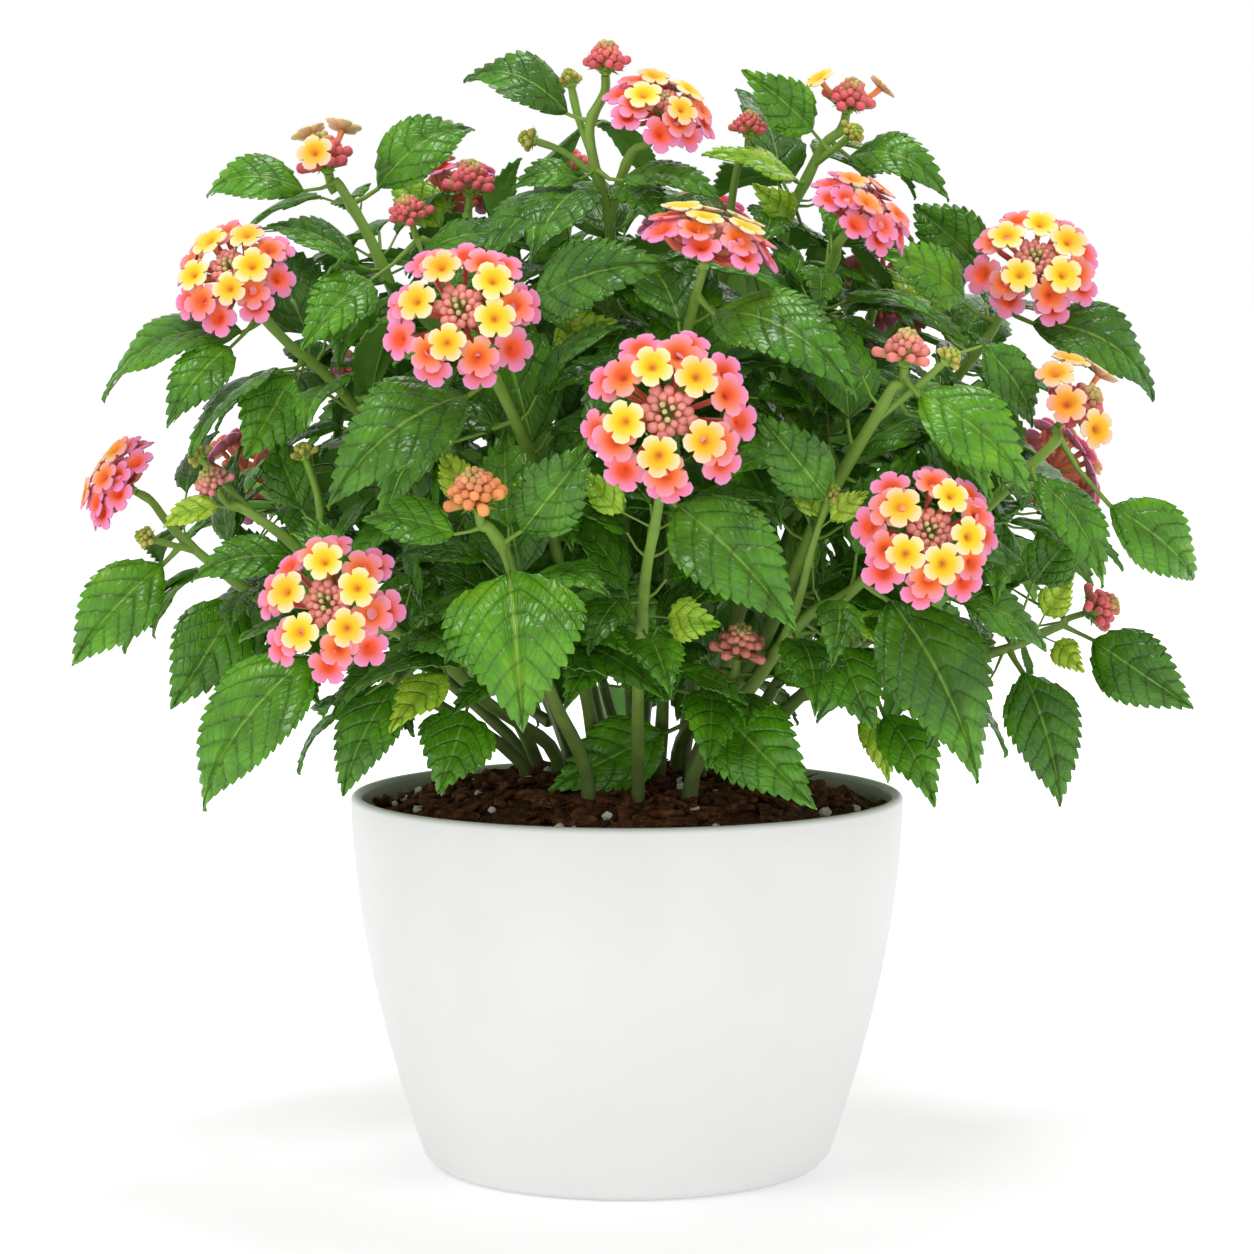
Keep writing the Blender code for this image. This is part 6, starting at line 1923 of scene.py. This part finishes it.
@dataclass
class StemMaker:
    """Models a leafy stem: its shoots, small green buds, stalks and leaves, as one piece."""

    palette: Palette
    sweeper: Sweeper
    leaves: LeafMaker
    heads: HeadMaker
    steps: int = 4
    knot_spacing: float = 17.0 * MM
    knot: float = 0.22
    slimmer: float = 0.84

    def shoot(self, line: Sequence[Vector], foot: float, tip: float) -> bpy.types.Object:
        """Return a shoot that thins from foot to tip and thickens at its leaf joints."""
        gone = 0.0
        radii = []
        for place, point in enumerate(line):
            if place:
                gone += (point - line[place - 1]).length
            share = place / (len(line) - 1)
            joint = max(0.0, math.cos(math.tau * gone / self.knot_spacing)) ** 6
            radii.append((foot + (tip - foot) * share) * self.slimmer
                         * (1.0 + self.knot * joint))
        return self.sweeper.sweep(line, radii, self.palette.stem)

    def build(self, one: Grown) -> bpy.types.Object:
        """Build one leafy stem as a piece.

        Args:
            one: The stem worked out in place.

        Returns:
            The joined piece.
        """
        rng = random.Random(one.stem.name)
        lines = [smoothed(line, self.steps) for line in one.lines]
        parts = self.leaves.foliage(one.blades, lines, rng)
        for shoot, line in zip(one.stem.shoots, lines):
            parts.append(self.shoot(line, shoot.foot, shoot.tip))
            if shoot.head == "bud":
                axis = (line[-1] - line[-2]).normalized()
                parts += self.heads.bud_head(line[-1] - axis * 0.8 * MM, axis,
                                             SMALL_BUD_RADIUS, None, rng)
        made = joined(parts, one.stem.name + "_dressed")
        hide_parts(one.stem.name)
        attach(made, "root")
        return made


@dataclass
class Pot:
    """The tapering pot: a thin wall with a rolled lip, a raised floor and drain holes."""

    palette: Palette
    segments: int = 128
    rows: int = 22
    foot_flat: float = 52.0 * MM
    foot_round: float = 3.0 * MM
    foot_corner: tuple = ((-1.0, 0.0), (0.0, 0.1), (1.2, 0.6), (1.9, 1.5))
    floor_corner: tuple = ((-1.0, 0.8), (-3.0, 0.0))
    lip_steps: int = 9
    drain_count: int = 4
    drain_radius: float = 4.0 * MM
    drain_ring: float = 26.0 * MM

    def profile(self) -> list[tuple[float, float]]:
        """Return the wall's section as (radius, height), from under the base round inside."""
        points = [(0.0, 0.0)] + [(self.foot_flat + out * MM, up * MM)
                                 for out, up in self.foot_corner]
        half = WALL / 2
        for row in range(self.rows + 1):
            height = self.foot_round + (POT_HEIGHT - half - self.foot_round) * row / self.rows
            points.append((pot_outer_radius(height), height))
        lip = RIM_RADIUS - half
        for step in range(1, self.lip_steps):
            turn = math.pi * step / self.lip_steps
            points.append((lip + math.cos(turn) * half,
                           POT_HEIGHT - half + math.sin(turn) * half))
        low = FLOOR + 2.5 * MM
        for row in range(self.rows, -1, -1):
            height = low + (POT_HEIGHT - half - low) * row / self.rows
            points.append((pot_outer_radius(height) - WALL, height))
        inner = pot_outer_radius(FLOOR) - WALL
        points += [(inner + out * MM, FLOOR + up * MM) for out, up in self.floor_corner]
        return points + [(0.0, FLOOR)]

    def build(self) -> bpy.types.Object:
        """Build the pot.

        Returns:
            The pot, turned from its section, with its drain holes cut.
        """
        mesh = bpy.data.meshes.new("pot_dressed")
        profile = self.profile()
        mesh.from_pydata([(radius, 0.0, height) for radius, height in profile],
                         [(place, place + 1) for place in range(len(profile) - 1)], [])
        made = new_object("pot_dressed", mesh)
        start_edit(made)
        bpy.ops.mesh.spin(steps=self.segments, angle=math.tau, center=(0, 0, 0),
                          axis=(0, 0, 1))
        bpy.ops.mesh.select_all(action="SELECT")
        bpy.ops.mesh.remove_doubles(threshold=0.01 * MM)
        bpy.ops.mesh.normals_make_consistent(inside=False)
        end_edit()
        for number in range(self.drain_count):
            turn = math.tau * (number + 0.5) / self.drain_count
            place = Vector((math.cos(turn), math.sin(turn), 0.0)) * self.drain_ring
            deselect()
            bpy.ops.mesh.primitive_cylinder_add(vertices=24, radius=self.drain_radius,
                                                depth=FLOOR * 3, location=place)
            cutter = bpy.context.active_object
            cut = made.modifiers.new("drain_hole", "BOOLEAN")
            cut.operation = "DIFFERENCE"
            cut.object = cutter
            apply_all(made)
            bpy.data.objects.remove(cutter, do_unlink=True)
        made.data.materials.clear()
        made.data.materials.append(self.palette.pot)
        smooth(made, 35.0)
        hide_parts("pot")
        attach(made, "root")
        return made


@dataclass
class PottingMix:
    """The heaped bark mix: a lumpy surface with chips, coir fibres and perlite lying in it."""

    palette: Palette
    grid: int = 72
    grit: float = 1.3 * MM
    chips: int = 560
    fibres: int = 170
    perlite: int = 90
    chip_length: tuple = (1.2, 4.2)
    fibre_length: tuple = (3.0, 6.5)
    perlite_size: tuple = (0.7, 1.9)
    raggedness: float = 0.28
    crumb: float = 3.2 * MM
    gap: float = 0.4 * MM
    bottom: float = 6.8 * MM

    def surface(self) -> bpy.types.Object:
        """Return the closed body of the mix."""
        deselect()
        bpy.ops.mesh.primitive_grid_add(x_subdivisions=self.grid, y_subdivisions=self.grid,
                                        size=2.0)
        made = bpy.context.active_object
        rows = coordinates(made)
        edge = pot_outer_radius(SOIL_EDGE) - WALL - self.gap
        x, y = rows[:, 0].copy(), rows[:, 1].copy()
        rows[:, 0] = x * np.sqrt(1.0 - y ** 2 / 2.0) * edge
        rows[:, 1] = y * np.sqrt(1.0 - x ** 2 / 2.0) * edge
        for row in rows:
            rim = min(1.0, math.hypot(row[0], row[1]) / edge)
            spot = Vector((row[0], row[1], 0.0))
            crumbs = noise.fractal(spot / self.crumb, 0.9, 2.0, 4) * self.grit
            row[2] = soil_height(row[0], row[1]) + crumbs * (1.0 - rim ** 10) - 0.3 * MM
        move_to(made, rows)
        start_edit(made)
        bpy.ops.mesh.region_to_loop()
        bpy.ops.mesh.extrude_region_move()
        bpy.ops.mesh.edge_face_add()
        end_edit()
        low = pot_outer_radius(self.bottom) - WALL - self.gap
        rows = coordinates(made)
        count = (self.grid + 1) ** 2
        rows[count:, :2] *= low / edge
        rows[count:, 2] = self.bottom
        move_to(made, rows)
        turn_outward(made)
        made.data.materials.append(self.palette.mix)
        return made

    def unit(self, kind: str) -> bpy.types.Object:
        """Return one unit chip, fibre or perlite grain to copy."""
        deselect()
        if kind == "perlite":
            bpy.ops.mesh.primitive_ico_sphere_add(subdivisions=1, radius=1.0)
        else:
            bpy.ops.mesh.primitive_cube_add(size=2.0)
            start_edit(bpy.context.active_object)
            bpy.ops.mesh.subdivide(number_cuts=1, smoothness=0.4)
            end_edit()
        return bpy.context.active_object

    def scatter(self, kind: str, count: int, rng: random.Random) -> list[bpy.types.Object]:
        """Scatter one kind of bit over the heap.

        Args:
            kind: chip, fibre or perlite.
            count: How many.
            rng: The source of their places and shapes.

        Returns:
            The bits.
        """
        unit = self.unit(kind)
        edge = pot_outer_radius(SOIL_EDGE) - WALL - 3.0 * MM
        finish = self.palette.perlite if kind == "perlite" else self.palette.bark
        made = []
        for _ in range(count):
            reach = edge * math.sqrt(rng.random())
            turn = rng.uniform(0.0, math.tau)
            x, y = math.cos(turn) * reach, math.sin(turn) * reach
            if kind == "perlite":
                size = rng.uniform(*self.perlite_size)
                scale = Vector((size, size * rng.uniform(0.7, 1.0),
                                size * rng.uniform(0.6, 0.9))) * MM
            elif kind == "fibre":
                scale = Vector((rng.uniform(*self.fibre_length), rng.uniform(0.22, 0.4),
                                rng.uniform(0.2, 0.35))) * MM
            else:
                length = rng.uniform(*self.chip_length)
                scale = Vector((length, length * rng.uniform(0.25, 0.55),
                                rng.uniform(0.35, 0.9))) * MM
            reach_left = pot_outer_radius(SOIL_EDGE) - WALL - reach
            scale.x = min(scale.x, max(reach_left * 0.8, 1.0 * MM))
            bit = copy_of(unit, kind, finish)
            rows = coordinates(bit)
            ragged = np.array([1.0 + rng.uniform(-self.raggedness, self.raggedness)
                               for _ in range(rows.size)])
            rows *= ragged.reshape(rows.shape)
            if kind == "fibre":
                rows[:, 2] += 2.0 * rng.uniform(-1.0, 1.0) * rows[:, 0] ** 2
                rows[:, 1] += 3.0 * rng.uniform(-1.0, 1.0) * rows[:, 0] ** 2
            move_to(bit, rows)
            tilt = rng.uniform(-0.5, 0.5) * (0.5 if kind == "fibre" else 1.0)
            lift = 0.5 * MM + scale.z * 0.5
            bit.data.transform(
                Matrix.Translation((x, y, soil_height(x, y) + lift))
                @ Matrix.Rotation(rng.uniform(0.0, math.tau), 4, "Z")
                @ Matrix.Rotation(tilt, 4, "Y") @ Matrix.Rotation(rng.uniform(-0.6, 0.6), 4, "X")
                @ Matrix.Diagonal((*scale, 1.0)))
            made.append(bit)
        bpy.data.objects.remove(unit, do_unlink=True)
        return made

    def build(self) -> bpy.types.Object:
        """Build the mix.

        Returns:
            The heap with all that lies in it, as one piece.
        """
        rng = random.Random(SEED + 2)
        parts = [self.surface()]
        for kind, count in (("chip", self.chips), ("fibre", self.fibres),
                            ("perlite", self.perlite)):
            parts += self.scatter(kind, count, rng)
        made = joined(parts, "soil_dressed")
        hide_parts("soil")
        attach(made, "root")
        return made


@dataclass
class Studio:
    """A wide pale floor under an even white sky, with soft lights and the camera."""

    floor_radius: float = 30.0
    floor_colour: str = "#f4f4f4"
    near_glow: float = 0.25
    far_glow: float = 0.62
    sky_level: float = 1.0
    zenith_level: float = 0.45
    horizon: tuple = (0.20, 0.75)
    lights: tuple = (("key", (-0.6, -0.9, 1.7), 0.5, 9.0), ("top", (0.2, 0.1, 1.9), 0.6, 11.0),
                     ("back", (0.5, 1.6, 1.3), 0.8, 3.0))
    lens_mm: float = 112.6
    camera_tilt: float = 85.2

    def floor(self) -> bpy.types.Object:
        """Return the floor, a wide disc whose rim dips away."""
        deselect()
        bpy.ops.mesh.primitive_circle_add(vertices=64, radius=self.floor_radius,
                                          fill_type="NGON")
        made = bpy.context.active_object
        made.name = "floor"
        start_edit(made)
        bpy.ops.mesh.extrude_region_move(TRANSFORM_OT_translate={"value": (0, 0, -0.05)})
        end_edit()
        turn_outward(made)
        # White paper sweep: it glows a little more away from the pot, to meet the white sky
        paper = Recipe("floor_paper", Roughness=0.8, Specular_IOR_Level=0.2,
                       Base_Color=(*linear(self.floor_colour), 1.0),
                       Emission_Color=(1.0, 1.0, 1.0, 1.0))
        away = add_node(paper.tree, "ShaderNodeVectorMath", {0: paper.place},
                        operation="LENGTH").outputs["Value"]
        paper.link(paper.spread(away, self.near_glow, self.far_glow, 0.20, 1.1),
                   "Emission Strength")
        made.data.materials.append(paper.made)
        return made

    def light(self, name: str, place: tuple[float, float, float], size: float,
              power: float) -> None:
        """Hang a soft white square light.

        Args:
            name: Its name.
            place: Where it hangs.
            size: Its side, in metres.
            power: Its power, in watts.
        """
        lamp = bpy.data.lights.new(name, "AREA")
        lamp.size = size
        lamp.energy = power
        holder = new_object(name, lamp)
        holder.location = place
        aim = Vector((0.0, 0.0, 0.15)) - Vector(place)
        holder.rotation_euler = aim.to_track_quat("-Z", "Y").to_euler()

    def build(self) -> None:
        """Set up the floor, the lights, the sky and the camera."""
        self.floor()
        for name, place, size, power in self.lights:
            self.light(name, place, size, power)
        world = bpy.data.worlds.new("studio")
        bpy.context.scene.world = world
        world.use_nodes = True
        tree = world.node_tree
        way = add_node(tree, "ShaderNodeTexCoord")
        parts = add_node(tree, "ShaderNodeSeparateXYZ", {"Vector": way.outputs["Generated"]})
        level = add_node(tree, "ShaderNodeMapRange",
                         {"Value": parts.outputs["Z"], 1: self.horizon[0], 2: self.horizon[1],
                          3: self.sky_level, 4: self.zenith_level})
        tree.nodes["Background"].inputs["Color"].default_value = (1.0, 1.0, 1.0, 1.0)
        tree.links.new(level.outputs["Result"], tree.nodes["Background"].inputs["Strength"])
        lens = bpy.data.cameras.new("camera")
        lens.lens = self.lens_mm
        lens.sensor_width = 36.0
        holder = new_object("camera", lens)
        holder.location = EYE
        holder.rotation_euler = (math.radians(self.camera_tilt), 0.0, 0.0)
        bpy.context.scene.camera = holder
        bpy.context.scene.view_settings.view_transform = "Standard"


def report(made: bpy.types.Object) -> int:
    """Log a piece and return its count of triangles."""
    count = sum(len(face.vertices) - 2 for face in made.data.polygons)
    log.info("%s: %d triangles", made.name, count)
    return count


def main() -> None:
    """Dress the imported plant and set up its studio."""
    logging.basicConfig(level=logging.INFO, format="%(name)s %(message)s")
    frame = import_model()
    deselect()
    layout = Layout(frame["nodes"])
    layout.grow()
    palette = Palette()
    templates = Templates()
    sweeper = Sweeper(templates)
    heads = HeadMaker(templates, palette)
    stems = StemMaker(palette, sweeper, LeafMaker(templates, palette, sweeper), heads)
    total = report(Pot(palette).build())
    total += report(PottingMix(palette).build())
    for name, head in HEADS.items():
        total += report(heads.build(name, head, layout.spins[name]))
    for one in layout.grown:
        total += report(stems.build(one))
    templates.remove()
    log.info("triangles in all: %d", total)
    Studio().build()


if __name__ == "__main__":
    main()
